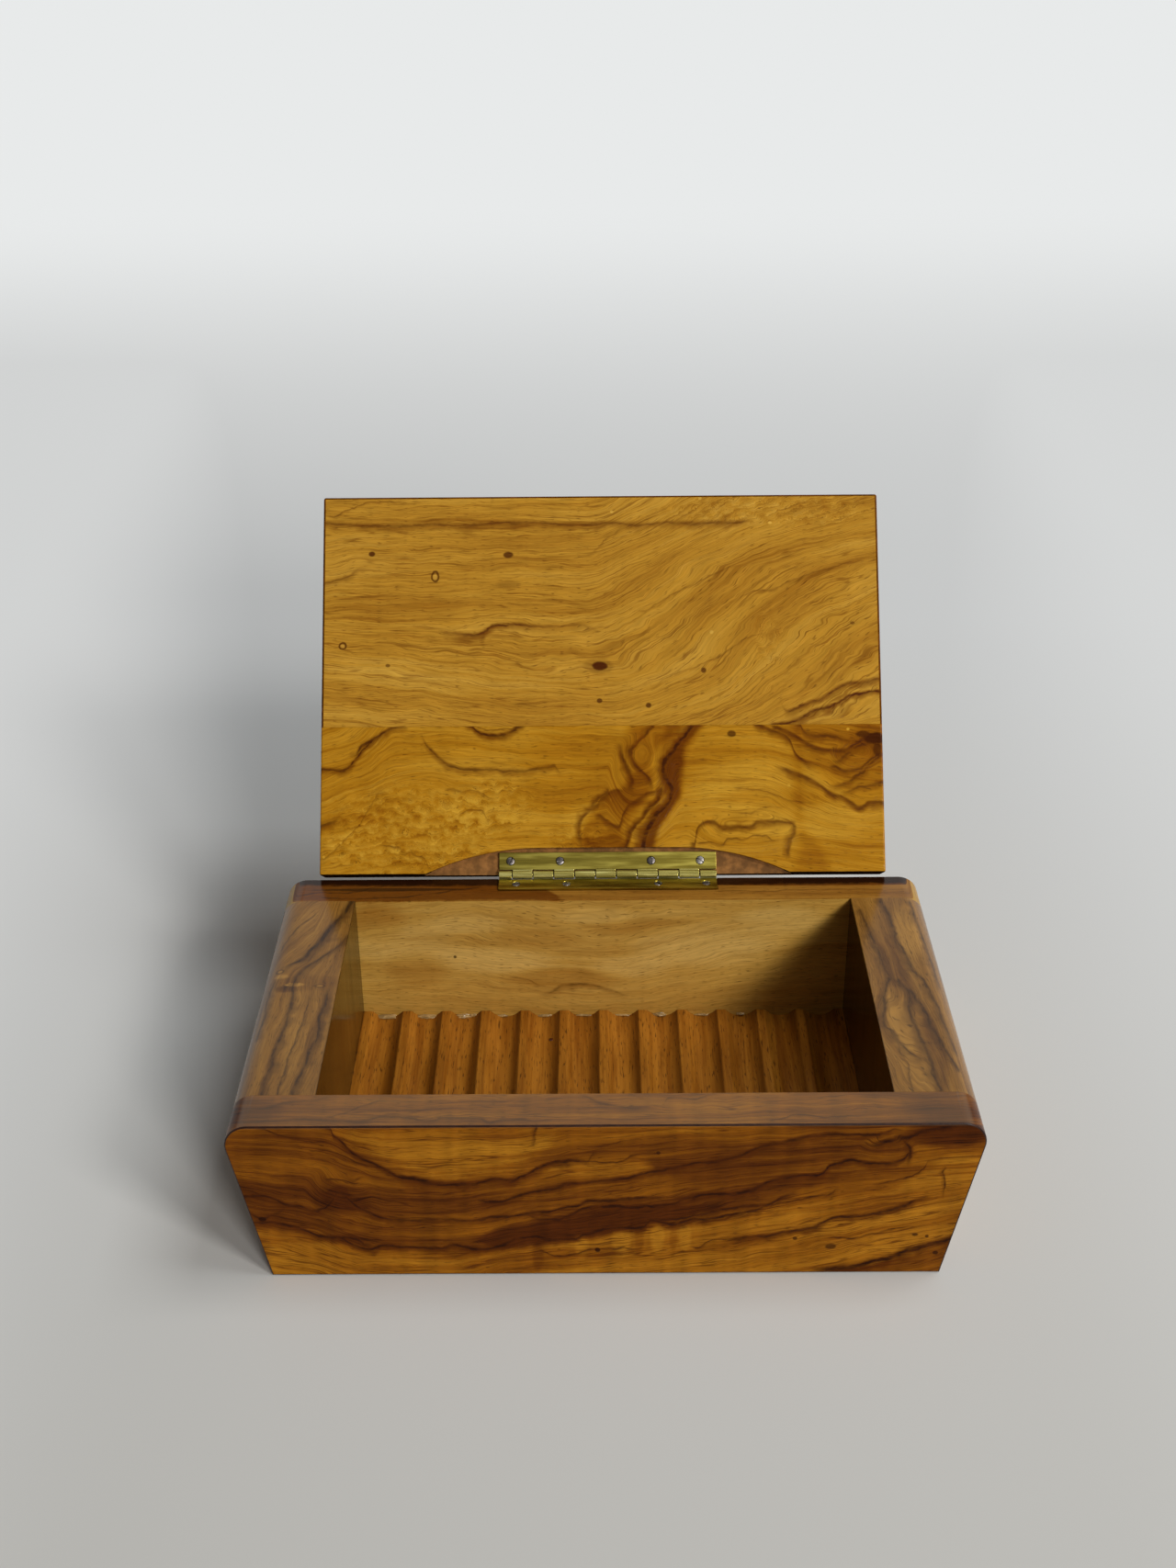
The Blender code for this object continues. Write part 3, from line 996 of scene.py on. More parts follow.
class Solid:
    """A closed mesh in millimetres that is shaped step by step and then finished as a piece."""

    def __init__(self, mesh: bmesh.types.BMesh) -> None:
        """Takes a closed mesh and turns its faces outwards."""
        self.mesh = mesh
        bmesh.ops.recalc_face_normals(mesh, faces=mesh.faces[:])

    @classmethod
    def block(cls, low: Sequence[float], high: Sequence[float]) -> "Solid":
        """A rectangular block.

        Args:
            low: Its lowest corner.
            high: Its highest corner.

        Returns:
            The solid.
        """
        mesh = bmesh.new()
        size = [b - a for a, b in zip(low, high)]
        middle = [(a + b) / 2 for a, b in zip(low, high)]
        matrix = Matrix.Translation(middle) @ Matrix.Diagonal((*size, 1.0))
        bmesh.ops.create_cube(mesh, size=1.0, matrix=matrix)
        return cls(mesh)

    @classmethod
    def turned(cls, profile: Sequence[tuple[float, float]], steps: int) -> "Solid":
        """A solid of revolution about Z.

        Args:
            profile: Pairs of radius and height that start and end on the axis.
            steps: Steps round it.

        Returns:
            The solid.
        """
        mesh = bmesh.new()
        verts = [mesh.verts.new((radius, 0.0, height)) for radius, height in profile]
        edges = [mesh.edges.new(pair) for pair in zip(verts, verts[1:])]
        spin(mesh, verts + edges, (0.0, 0.0, 0.0), 2 * math.pi, steps, True)
        bmesh.ops.remove_doubles(mesh, verts=mesh.verts[:], dist=1e-5)
        return cls(mesh)

    @classmethod
    def blob(cls, middle: Sequence[float], half: Sequence[float], seed: float) -> "Solid":
        """A lumpy drop.

        Args:
            middle: Its middle.
            half: Its half sizes.
            seed: Picks its lumps.

        Returns:
            The solid.
        """
        mesh = bmesh.new()
        bmesh.ops.create_icosphere(mesh, subdivisions=4, radius=1.0)
        for vert in mesh.verts:
            swell = 1.0 + 0.45 * noise.noise(vert.co * 1.6 + Vector((seed * 7.3, 0.0, 0.0)))
            swell += 0.18 * noise.noise(vert.co * 4.5 + Vector((0.0, seed * 5.1, 0.0)))
            vert.co = Vector(middle) + Vector([part * size * swell for part, size in zip(vert.co, half)])
        return cls(mesh)

    def moved(self, matrix: Matrix) -> "Solid":
        """Places the solid.

        Args:
            matrix: Its placement.

        Returns:
            The same solid.
        """
        bmesh.ops.transform(self.mesh, matrix=matrix, verts=self.mesh.verts[:])
        bmesh.ops.recalc_face_normals(self.mesh, faces=self.mesh.faces[:])
        return self

    def joined(self, *others: "Solid") -> "Solid":
        """Takes other solids into the same mesh.

        Args:
            others: The other solids.

        Returns:
            The same solid.
        """
        for other in others:
            part = as_mesh(other.mesh, "part")
            other.mesh.free()
            self.mesh.from_mesh(part)
            bpy.data.meshes.remove(part)
        return self

    def carved(self, cutter: "Solid") -> "Solid":
        """Cuts another solid out of this one.

        Args:
            cutter: The other solid.

        Returns:
            The same solid.
        """
        holders = [shown("part", as_mesh(solid.mesh, "part")) for solid in (self, cutter)]
        boolean = holders[0].modifiers.new("cut", "BOOLEAN")
        boolean.operation = "DIFFERENCE"
        boolean.solver = "EXACT"
        boolean.object = holders[1]
        graph = bpy.context.evaluated_depsgraph_get()
        self.mesh.clear()
        self.mesh.from_mesh(holders[0].evaluated_get(graph).data)
        for holder in holders:
            part = holder.data
            bpy.data.objects.remove(holder, do_unlink=True)
            bpy.data.meshes.remove(part)
        cutter.mesh.free()
        return self

    def eased(
        self, wanted: Callable[[bmesh.types.BMEdge], bool], width: float, segments: int = 2, finish: int = 0
    ) -> "Solid":
        """Rounds edges.

        Args:
            wanted: True for an edge that is rounded.
            width: Width of the rounding on each side.
            segments: Steps across it.
            finish: Place of its material on the piece.

        Returns:
            The same solid.
        """
        made = bmesh.ops.bevel(
            self.mesh,
            geom=[edge for edge in self.mesh.edges if wanted(edge)],
            offset=width,
            offset_type="OFFSET",
            segments=segments,
            profile=0.5,
            affect="EDGES",
            material=-1,
            clamp_overlap=True,
        )
        for face in made["faces"]:
            face.material_index = finish
        return self

    def painted(self, wanted: Callable[[bmesh.types.BMFace], bool], finish: int) -> "Solid":
        """Gives some of the faces another of the piece's finishes.

        Args:
            wanted: True for such a face.
            finish: Place of its material on the piece.

        Returns:
            The same solid.
        """
        self.mesh.normal_update()
        for face in self.mesh.faces:
            if wanted(face):
                face.material_index = finish
        return self

    def piece(
        self, name: str, finishes: Sequence[bpy.types.Material], body: str, slot: str, added: bool = False
    ) -> None:
        """Finishes the solid as a piece of the scene.

        Args:
            name: The frame's node that it stands for, or its own name if it is added.
            finishes: Its materials.
            body: The body that it rides on.
            slot: The record's material slot. It is not used.
            added: True if it stands for no node. It is then smooth all over.
        """
        label = name if added else f"{name}_dressed"
        smooth_below = 180.0 if added else 35.0
        bmesh.ops.scale(self.mesh, vec=(MM, MM, MM), verts=self.mesh.verts[:])
        mesh = as_mesh(self.mesh, label)
        self.mesh.free()
        for finish in finishes:
            mesh.materials.append(finish)
        mesh.shade_smooth()
        mesh.set_sharp_from_angle(angle=math.radians(smooth_below))
        made = shown(label, mesh)
        made.modifiers.new("even_shading", "WEIGHTED_NORMAL").keep_sharp = True
        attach(made, body)
        if not added:
            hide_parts(name)
        LOG.info("%s: %d faces, rides on %s", label, len(mesh.polygons), body)


def lies_at(edge: bmesh.types.BMEdge, axis: int, value: float) -> bool:
    """True if both ends of an edge have this coordinate."""
    return all(abs(vert.co[axis] - value) < 1e-4 for vert in edge.verts)


def corner(edge: bmesh.types.BMEdge, degrees: float = 50.0) -> bool:
    """True if the two faces beside an edge meet at more than this angle."""
    return len(edge.link_faces) == 2 and edge.calc_face_angle(0.0) > math.radians(degrees)


# The box


UPRIGHT = (90.0, 0.0, 0.0)
FRONT_FRAME = BoardFrame((0.0, -57.0, 0.0), UPRIGHT)
BACK_FRAME = BoardFrame((0.0, 45.3, 0.0), UPRIGHT)
LEFT_FRAME = BoardFrame((-71.5, 0.0, 47.6), (0.0, 0.0, 90.0))
RIGHT_FRAME = BoardFrame((71.5, 0.0, 47.6), (0.0, 0.0, -90.0))
LID_FRAME = BoardFrame((0.0, 56.506, 49.446), (54.4, 0.0, 0.0))

FRONT_FIGURE = Figure(
    guides=each(
        Guide,
        (8, ((-92, 8), (-75, 5), (-62, 0), (-50, -0.5), (-34, 0), (-20, 3), (0, 5), (16, 7), (32, 9.5),
            (51, 13), (70, 18), (79, 20), (92, 24))),
        (28, ((-92, 11), (-75, 8), (-64, 6), (-55, 1), (-45, 0), (-33, 1), (-10, 5), (12, 9), (32, 13),
            (50, 16), (70, 19), (92, 23))),
        (44, ((-92, 9), (-82, 8), (-68, 6), (-60, 1), (-45, 0), (-25, 0.5), (0, 3), (30, 5), (50, 7),
            (75, 9), (92, 11))),
        (53, ((-92, 1), (-40, 0), (0, 0.5), (92, 1))),
    ),
    veins=(
        *Stroke.HAIR.veins(
            (0.9, (-82.5, 47), (-78.5, 45), (-75.5, 44), (-72, 43), (-68.5, 43, 0.6)),
            (0.9, (-70.5, 40.5, 0.5), (-67, 40), (-63.5, 38.5), (-60.5, 36.5), (-56.5, 35.5, 0.4)),
            (1, (-67.5, 31.5), (-65, 31), (-61, 30, 0.6)),
            (0.8, (-3, 41, 0.5), (3, 42), (8, 43.5, 0.5)),
            (0.9, (-3, 36.5), (1, 36), (4, 36.5), (6.5, 38.5), (12.5, 39, 0.5)),
            (1, (-15.5, 7.5), (-12.5, 6), (-7, 7), (-3.5, 8.5), (2.5, 8.5), (8.5, 8, 0.4)),
            (1, (23, 8.5), (26, 10.5), (29.5, 11), (32.5, 11.5, 0.5)),
            (1, (41.5, 22, 0.5), (46.5, 23.5), (51, 25), (55, 25.5), (57, 27.5, 0.3)),
            (1, (67.5, 29, 0.5), (72.5, 30.5), (75.5, 31.5), (78, 34), (78.8, 36, 0.5)),
            (1, (57.5, 11.5), (62.5, 11.5), (66.5, 13), (71, 14), (76, 15, 0.5)),
            (0.9, (-66.5, 51.5), (-63, 53), (-59, 56), (-55.5, 58, 0.4)),
            (0.9, (16, 58), (22, 57.5), (27, 59.3, 0.4)),
            (0.9, (41, 49.5), (47, 51.5), (54, 50.5), (62.5, 51, 0.4)),
        ),
        *Stroke.LINE.veins(
            (1, (-66.5, 47, 0.8), (-66, 45), (-64, 43), (-62, 40), (-59, 37.5), (-56.5, 36), (-53.5, 34),
              (-50, 31.5), (-46.5, 31), (-43.5, 30), (-40, 29), (-36, 29.5), (-32.5, 29.5), (-27.5, 31),
              (-23, 30.5), (-20, 32), (-17, 34), (-14, 35.5), (-11, 36.5), (-7.5, 37, 0.8),
              (-4.5, 36.5, 0.7), (-2.5, 39, 0.3)),
            (0.85, (-91, 25.5), (-85.5, 26), (-82, 25), (-78.5, 23), (-75.5, 22.5), (-72.5, 21), (-70, 22),
              (-67.5, 24.5), (-65.5, 27, 0.6)),
            (0.8, (-88.5, 20.5), (-85.5, 18.8), (-83, 20, 0.7), (-80.5, 21.5, 0.3)),
            (0.9, (-87.5, 17.5, 0.6), (-83.5, 17.5), (-78, 16), (-74.5, 14.5), (-71.5, 12.8), (-66.5, 12.5),
              (-62.5, 12), (-60.5, 10, 0.6)),
            (0.9, (-64, 25.5, 0.7), (-61.5, 22.5), (-59.5, 21), (-56, 19), (-52, 18, 0.8), (-47, 18, 0.7),
              (-40, 18.5, 0.6), (-34, 17.5, 0.6), (-27.5, 19), (-21.5, 19.5), (-18, 20.5), (-14, 20.5),
              (-10.5, 21.5), (-7, 22.5), (-3.5, 24), (0.5, 24), (4, 24.5), (8, 24.5), (12.5, 25, 0.5)),
            (0.95, (-66.5, 12.5), (-62.5, 9.5), (-59, 8.5), (-55.5, 10), (-52.5, 9.5), (-48.5, 9),
              (-41.5, 8.5), (-38, 9.5), (-34.5, 9), (-30, 8.5), (-26, 10), (-21.5, 12), (-17.5, 12.5),
              (-13, 11.5), (-8, 11.5), (-5.5, 13), (-2, 14.5), (3, 15), (10, 15.5), (11.5, 17.5),
              (16.5, 16.5), (21, 17.5), (25, 18), (32, 19.5), (38, 21, 0.8), (44, 24.5, 0.5)),
            (0.9, (-30, 24), (-25.5, 24), (-22.5, 25.5), (-19, 26.5), (-15.5, 27.5), (-12, 28.5),
              (-8.5, 29.8), (-5, 29.5, 0.5), (-2, 30, 0.5), (2.5, 31), (6, 31.5), (10, 32.5), (13.5, 33.5),
              (17.5, 34.5), (21.5, 35.5), (27, 36.5), (31.5, 37.5), (35.5, 39.5), (39.5, 41.5), (43, 42),
              (46.5, 43), (50.5, 44), (55.5, 44.5), (60, 44), (64.5, 44), (70.5, 45.5, 0.6)),
            (1, (-18, 19, 0.5), (-15.5, 18, 0.7), (-12, 18, 0.7), (-8.5, 19.5), (-5.5, 21.5), (-2.5, 22),
              (2, 22.5), (6, 22), (10, 22), (13.5, 22.5), (17, 23), (20, 24.5), (23, 25.5), (27, 26),
              (30, 26), (35, 27), (38, 28.5), (42, 30.5), (46.5, 31.5), (50.5, 31.5), (53.5, 32.5),
              (54.5, 34), (57, 35.5), (60, 36.5), (65, 35.5), (69, 35.5), (72.5, 36.5), (74.3, 38.5, 0.7)),
            (0.8, (11.5, 18), (19, 18), (24.5, 19.5), (27, 20.5), (32, 21.5), (35, 22), (40.5, 22.5),
              (43.5, 24.5), (46.5, 26, 0.5)),
            (0.9, (30, 11.5, 0.4), (36.5, 12), (41, 12.5), (47, 14), (51.5, 15), (54.5, 16.5), (57, 18),
              (61.5, 18.5), (66, 19), (70, 20.5), (74, 22), (79, 24.5, 0.5)),
            (0.6, (-90, 49.5, 0.5), (-78.5, 50), (-72, 50.5), (-66.5, 50), (-60.5, 49.5), (-54.5, 51),
              (-48.5, 51), (-42.5, 49.5), (-38.5, 51), (-34.5, 50.5), (-30.5, 50.5), (-28, 49), (-25, 49.8),
              (-20.5, 50), (-16.5, 49, 0.3)),
            (0.6, (-90, 53), (-84, 54.5), (-78.5, 57), (-73, 57.5, 0.6), (-68, 59, 0.2)),
            (0.5, (-6, 59, 0.4), (-1.5, 56.5), (4, 54.5), (10, 53.5, 0.3)),
        ),
        *Stroke.CORD.veins(
            (0.9, (-52, 33, 0.2), (-50, 31.8, 0.8), (-46.5, 31.2), (-43.5, 30.3), (-40, 29.5, 0.3)),
            (0.9, (53.5, 1, 0.4), (58, 1.5), (63, 2), (67, 3.5), (71, 4.5), (75, 7), (79.5, 8.5),
              (83.5, 10), (87, 11.5), (91, 13, 0.7)),
            (0.85, (65, 41, 0.4), (67.5, 42), (70.5, 43), (74, 43.5), (75.5, 44.5), (78.5, 45.5),
              (82.5, 46.5), (86.5, 47.5, 0.7)),
        ),
        *Stroke.BAND.veins(
            (0.7, (-26, 13, 0.3), (-16, 13.5, 0.9), (-6, 15.5), (4, 17.5), (12, 18.5, 0.3)),
        ),
        *Stroke.HAIR.veins(
            (1, (-16.5, 47), (-17, 43.5), (-17.5, 41, 0.3)),
            (1, (83.5, 34, 0.3), (83, 33), (83.5, 29), (83.5, 25.5, 0.3)),
            axis=Axis.ACROSS,
        ),
        *Stroke.LINE.veins(
            (0.9, (74, 36, 0.4), (74.3, 38.5), (74, 40.5), (72.5, 42.5, 0.5)),
            axis=Axis.ACROSS,
        ),
    ),
    knots=each(Knot, (-85.5, 18.6, 1, 0.7), (-2, 8, 0.7, 0.7), (13, 39, 0.5, 0.5, 0.7),
        (56.5, 8.8, 1.3, 0.9, 0.7), (47.5, 11.5, 0.6, 0.5, 0.8), (77.5, 12.5, 0.8, 0.5, 0.8),
        (80.5, 12, 0.5, 0.5, 0.8), (83, 6.5, 0.7, 0.6, 0.8)),
    swells=each(Swell, (-66, 27, 7, 7, 4), (69, 40, 6, 3.6, 3)),
    patches=each(Patch, (-65, 25, 7, 5, 0.16), (84, 44.5, 11, 4.5, 0.5), (-66, 26, 3, 3, 0.3),
        (-88, 54, 9, 6, 0.3), (62, 54, 26, 9, 0.12), (85, 54, 12, 6, 0.3), (-80, 33, 12, 6, -0.1),
        (-6, 10, 1.8, 5, -0.2), (4, 11, 2.4, 5.5, -0.3), (13, 12, 1.8, 5, -0.28), (20, 12, 1.6, 4.5, -0.22),
        (8.5, 12, 1.2, 6, 0.14), (17, 12, 1, 5, 0.12), (-17, 6, 1.5, 6, 0.15), (34, 45, 18, 3, -0.12),
        (62, 18, 26, 8, -0.08)),
    zones=(
        Zone(-0.28, ((-70, 50), (-62, 42), (-56, 37.5), (-50, 34), (-44, 32.5), (-36, 32), (-28, 33),
            (-18, 37), (-8, 47), (0, 52)), ((0, 47.5),), 4),
        Zone(0.36, ((-34, 11), (-24, 8.5), (-15, 9.5), (-4, 12.3), (3, 13), (11, 15.5), (22, 19.5),
            (30, 22)), ((-34, 11.5), (-24, 17), (-15, 18.8), (-8, 20.5), (3, 22), (12, 22.6), (22, 22.5),
            (30, 22.5)), 1.5),
        Zone(0.16, ((-66, 10), (-52, 10), (-34, 9), (-20, 10), (8, 16), (24, 19), (40, 24), (54, 29),
            (64, 34)), ((-66, 14), (-52, 18), (-34, 19), (-16, 20), (0, 23), (12, 25.5), (25, 27), (40, 30),
            (54, 34), (64, 35)), 2),
        Zone(0.14, ((-70, 14), (-50, 16), (-20, 19)), ((-70, 34), (-50, 29), (-20, 24)), 4),
        # painted sheen: the top of the board is paler
        Zone(-0.13, ((0, 47.5),), ((0, 80),), 0.4),
        Zone(-0.24, ((0, -20),), ((-92, 16), (-80, 15), (-70, 12), (-62, 9), (-45, 8.5), (-38, 6.5),
            (-28, 8.5), (-18, 11), (-3, 12.5), (5, 15), (20, 16), (36, 17.5), (50, 22), (62, 25), (72, 29),
            (80, 35), (86, 38), (92, 38)), 2.2),
        Zone(-0.26, ((-18, 31), (-8, 31), (5, 32), (13, 34)), ((-18, 31), (-12, 35.5), (0, 37), (10, 36.5),
            (13, 34)), 1.5),
        Zone(0.18, ((8, 36), (20, 29), (36, 31), (50, 34), (62, 36), (72, 36.5), (78, 40)), ((8, 36),
            (20, 41), (36, 44), (50, 45), (62, 43.5), (72, 42.5), (78, 40)), 3.5),
        Zone(0.34, ((0, -20),), ((52, -3), (58, 0.5), (66, 2.5), (75, 5.5), (84, 9), (93, 13)), 1),
    ),
    ground=0.43, boldness=0.34, lines=0.75, seed=11,
)

LEFT_FIGURE = Figure(
    guides=each(
        Guide,
        (3, ((-46, 3.5), (-20, 0), (0, 0), (26, -2), (46, -3))),
        (10, ((-46, 3), (-2, 0), (6, 0), (15, -5), (26, -11), (46, -20))),
        (17, ((-46, 2), (0, 0), (10, -2), (24, -9), (46, -18))),
    ),
    veins=(
        *Stroke.HAIR.veins(
            (0.9, (21.5, 18.5), (26, 16.5), (31, 15), (38, 10.5, 0.5)),
            (0.8, (-44, 9.5), (-30, 9), (-15, 7.5), (-3, 7, 0.4)),
        ),
        *Stroke.LINE.veins(
            (0.65, (-44.5, 13.5), (-39, 13.5), (-35, 13), (-30, 13), (-23.5, 12.5), (-18.5, 12),
              (-13, 11.5), (-8, 11.5), (-2.5, 11.5), (1.5, 12), (5.5, 12), (9.5, 11), (12, 9.5), (15, 7),
              (18.5, 4.5), (22, 2), (26, 0.5, 0.6)),
            (0.7, (-44, 6), (-39, 5.5), (-34.5, 4.5), (-29.5, 4), (-24.5, 3.5), (-20.5, 2.5), (-15.5, 3),
              (-9.5, 3), (-5, 2.5), (0, 2.5, 0.5)),
            (0.6, (-20, 19.5), (-11.5, 18.5), (-1.5, 19), (5, 18, 0.5)),
        ),
        *Stroke.CORD.veins(
            (0.8, (10.5, 16, 0.3), (13, 14, 0.6), (15, 11.5), (19.5, 9.5), (24, 7.5), (28, 6.5), (32.5, 5),
              (37, 3), (42.5, 1.5), (45.5, 1)),
        ),
    ),
    knots=each(Knot, (9.5, 17, 1, 1.3, 0.5, True), (3, 14, 0.8, 1, 0.4, True),
        (2.5, 5, 0.7, 1.6, 0.4, True)),
    patches=each(Patch, (4, 9, 4, 10, 0.16), (33, 12, 10, 5, -0.12), (-25, 8, 16, 3, -0.18),
        (1, 14, 1.6, 3.4, 0.3), (3.2, 12, 0.9, 3, -0.5), (7, 16, 1, 2.6, -0.35)),
    boldness=0.26, lines=0.35, seed=23, shear_from=1,
)

RIGHT_FIGURE = Figure(
    guides=each(
        Guide,
        (4, ((-46, -3), (-24, -1), (-6, 1), (0, 1), (10, -2), (20, -1), (30, 2), (45, 5))),
        (12, ((-46, -3), (-24, -2), (-9, 0), (5, 3), (21, 6), (45, 9))),
        (19, ((-46, -1), (-10, 0), (20, 2), (45, 4))),
    ),
    veins=(
        *Stroke.HAIR.veins(
            (0.6, (20, 3), (28, 4), (35, 5), (44, 4.5)),
        ),
        *Stroke.LINE.veins(
            (0.6, (-44, 8.5), (-33.5, 10), (-24.5, 10), (-17, 11.5), (-9.5, 12.5), (-3, 14.5), (5, 16),
              (11, 17), (21, 18), (28, 19, 0.6)),
            (0.6, (-38, 2), (-24.5, 3.5), (-16, 4.5), (-6.5, 5.5, 0.7)),
            (0.6, (-4, 5.5), (1.5, 3.5), (8, 2.8), (13, 1.6), (17, 1.5), (19, 3), (23.5, 4), (28, 6),
              (31, 8.5, 0.6)),
            (0.6, (-3, 8), (2.5, 10), (13, 9), (19, 9.5), (26, 10.5), (33.5, 11), (44, 11.5)),
            (0.65, (1.5, 10.5), (6.5, 11.8), (11, 13), (17, 13.5), (23, 14.5), (27.5, 15.5), (35, 18)),
            (0.6, (-42.5, 17), (-29, 18), (-16, 19), (-2, 20, 0.5)),
        ),
    ),
    patches=each(Patch, (-8, 8, 40, 3.5, 0.28), (14, 6, 16, 4, -0.4), (-28, 14, 14, 4, -0.3),
        (32, 9, 12, 5, -0.22), (26, 13, 18, 2.5, 0.3)),
    boldness=0.26, lines=0.35, seed=31, shear_from=1,
)

BACK_FIGURE = Figure(
    guides=each(
        Guide,
        (10, ((-92, 2), (-40, 0), (0, -3), (40, 2), (92, 4))),
        (32, ((-92, -6), (-70, -2), (-45, 0), (-30, -3), (0, -6), (20, -2), (40, 4), (92, 8))),
        (47, ((-92, -4), (-65, 0), (-40, 2), (0, 1), (60, 1), (92, 0))),
        (58, ((-92, 2), (-40, -1), (0, 0), (60, 1), (92, 0))),
    ),
    veins=(
        *Stroke.HAIR.veins(
            (0.5, (-26, 20.5), (-22, 19.5), (-18, 17.5, 0.4)),
            (0.6, (34, 52), (46, 51.5), (60, 52.5), (80, 52)),
        ),
        *Stroke.LINE.veins(
            (0.45, (-18, 14.5, 0.4), (-12, 17.5), (-6, 18), (0, 16.5), (6, 14, 0.4)),
            (0.7, (-90, 50.5), (-82, 52), (-76.5, 52), (-72, 52.5), (-68.5, 54), (-63, 56)),
            (0.8, (-80.5, 49.5), (-74, 48.8), (-65.5, 49), (-57.5, 49.5), (-53.5, 50.5), (-47, 52),
              (-41, 53.5), (-37.5, 54.5)),
        ),
        *Stroke.CORD.veins(
            (0.95, (-90, 58), (-60, 58.2), (-30, 58.4), (30, 58.4), (60, 58.2), (90, 58)),
        ),
    ),
    knots=each(Knot, (-43.5, 28, 0.5, 0.5, 0.8), (20, 58.6, 170, 3.4, 0.97), (-62, 53.6, 22, 0.9, 0.8)),
    patches=each(Patch, (-60, 33, 20, 8, -0.2), (30, 31, 22, 8, -0.3), (-12, 20, 18, 4, 0.2),
        (-66, 40, 9, 7, 0.2), (-55, 24, 10, 7, 0.16), (-32, 27, 18, 5, -0.28), (-40, 40, 12, 4, -0.22),
        (-20, 34, 14, 4, 0.14), (8, 24, 12, 4, -0.24), (12, 38, 18, 3.5, 0.14), (52, 40, 14, 5, -0.26),
        (-2, 42, 12, 3, -0.2)),
    zones=(
        Zone(0.34, ((0, 47.2),), ((0, 80),), 0.3),
        Zone(0.34, ((0, 47.2),), ((-92, 80), (-30, 78), (-10, 47), (92, 40)), 2),
        Zone(0.8, ((-60, 56.8), (-30, 56.4), (30, 55.2), (60, 54.6), (92, 54.8)), ((0, 80),), 0.4),
    ),
    boldness=0.15, lines=0.16, seed=41, shear_from=46.2, shear_over=1.2,
)

LID_FRONT_FIGURE = Figure(
    guides=each(
        Guide,
        (46, ((-84, 0), (-50, -3), (-20, -6), (0, -6), (15, -4), (30, 0), (50, 7), (65, 11), (84, 16))),
        (60, ((-84, 0), (-60, -2), (-40, -5), (-20, -7), (0, -7), (15, -3), (30, 3), (50, 13), (65, 19),
            (84, 25))),
        (76, ((-84, 0), (-47, -1), (-30, 0), (-10, -1), (0, 0), (10, 3), (30, 12), (50, 22), (65, 28),
            (84, 34))),
        (92, ((-84, -2), (-70, 0), (-40, 0), (-5, 0), (10, 6), (30, 18), (50, 28), (70, 35), (84, 39))),
        (105, ((-84, 0), (-5, 0), (10, 5), (30, 16), (50, 26), (70, 32), (84, 36))),
    ),
    veins=(
        *Stroke.HAIR.veins(
            (0.7, (-80, 108), (-76.5, 109.5), (-73, 111), (-68, 112.5), (-59.5, 112.5, 0.5)),
            (0.5, (13, 78.5), (21, 83.5), (28.5, 87), (37, 91), (42.5, 92.5, 0.3)),
            (0.5, (39.5, 81, 0.4), (45.5, 84), (51, 85), (58.5, 88), (65.5, 90.5), (77.5, 93.5, 0.4)),
            (0.5, (15, 56, 0.4), (22, 59.5), (28.5, 61.5), (35.5, 65), (42, 69), (48, 71.5, 0.4)),
            (0.5, (-5, 95.5, 0.4), (2, 100.5), (8, 104, 0.4)),
        ),
        *Stroke.LINE.veins(
            (0.6, (-83, 106), (-73.5, 105.5), (-59.5, 105), (-51.5, 105.5), (-41.5, 105), (-34.5, 105.5),
              (-24.5, 106), (-16, 105.5), (-7.5, 105), (2, 105.5), (14, 105), (20.5, 105.5), (29, 105.5),
              (37, 105.5), (41.5, 105.5), (45.5, 106, 0.2)),
            (0.5, (-82, 87.5), (-78.5, 88.5), (-75.5, 89.5), (-71.5, 92, 0.5)),
            (1, (-47, 72.5, 0.3), (-42.5, 72, 0.6), (-38, 71.5, 0.8), (-34.5, 72.5), (-32.5, 74),
              (-30, 74.5, 0.9), (-24.5, 74.5, 0.7), (-20, 74, 0.5), (-13.5, 74, 0.3), (-8, 74.5, 0.3),
              (-2, 73, 0.2)),
            (0.9, (51, 44), (58, 45.5), (63, 48), (68.5, 49.5), (73, 52), (76.5, 53), (80, 53.5),
              (83.5, 54)),
            (0.8, (55, 48, 0.5), (61, 50), (65, 51.5), (69.5, 54.5), (73, 56), (77.5, 56.5), (83, 57.5)),
        ),
    ),
    knots=each(Knot, (-68.5, 96.5, 1, 0.8), (-27.5, 96, 1.5, 0.9, 0.85), (-49.5, 89.5, 1.1, 1.6, 0.8, True),
        (-27.5, 87, 3.6, 1.2, 0.28), (-77, 68.5, 1.1, 1.1, 0.8, True), (-63.5, 62.5, 0.7, 0.5, 0.7),
        (-0.5, 62, 2.3, 1.4, 0.95), (-1, 62, 4.5, 2.2, 0.3), (33, 72, 0.6, 0.6, -1),
        (51, 105.3, 0.6, 0.4, -1), (3.5, 109, 0.5, 0.5, -1), (30, 113, 0.5, 0.5, -1),
        (30.5, 60.5, 0.8, 0.8, 0.8), (-0.5, 51.5, 0.8, 0.7, 0.8), (14, 50, 0.8, 0.8, 0.8),
        (75, 74.5, 0.7, 0.5, 0.6)),
    patches=each(Patch, (40, 85, 34, 16, 0.1), (-40, 60, 40, 8, -0.12), (-60, 80, 20, 10, 0.08)),
    burl=each(Patch, (52, 109, 34, 5, 0.7), (50, 70, 5, 9, 0.4)),
    lines=0.6, boldness=0.2, seed=53,
)

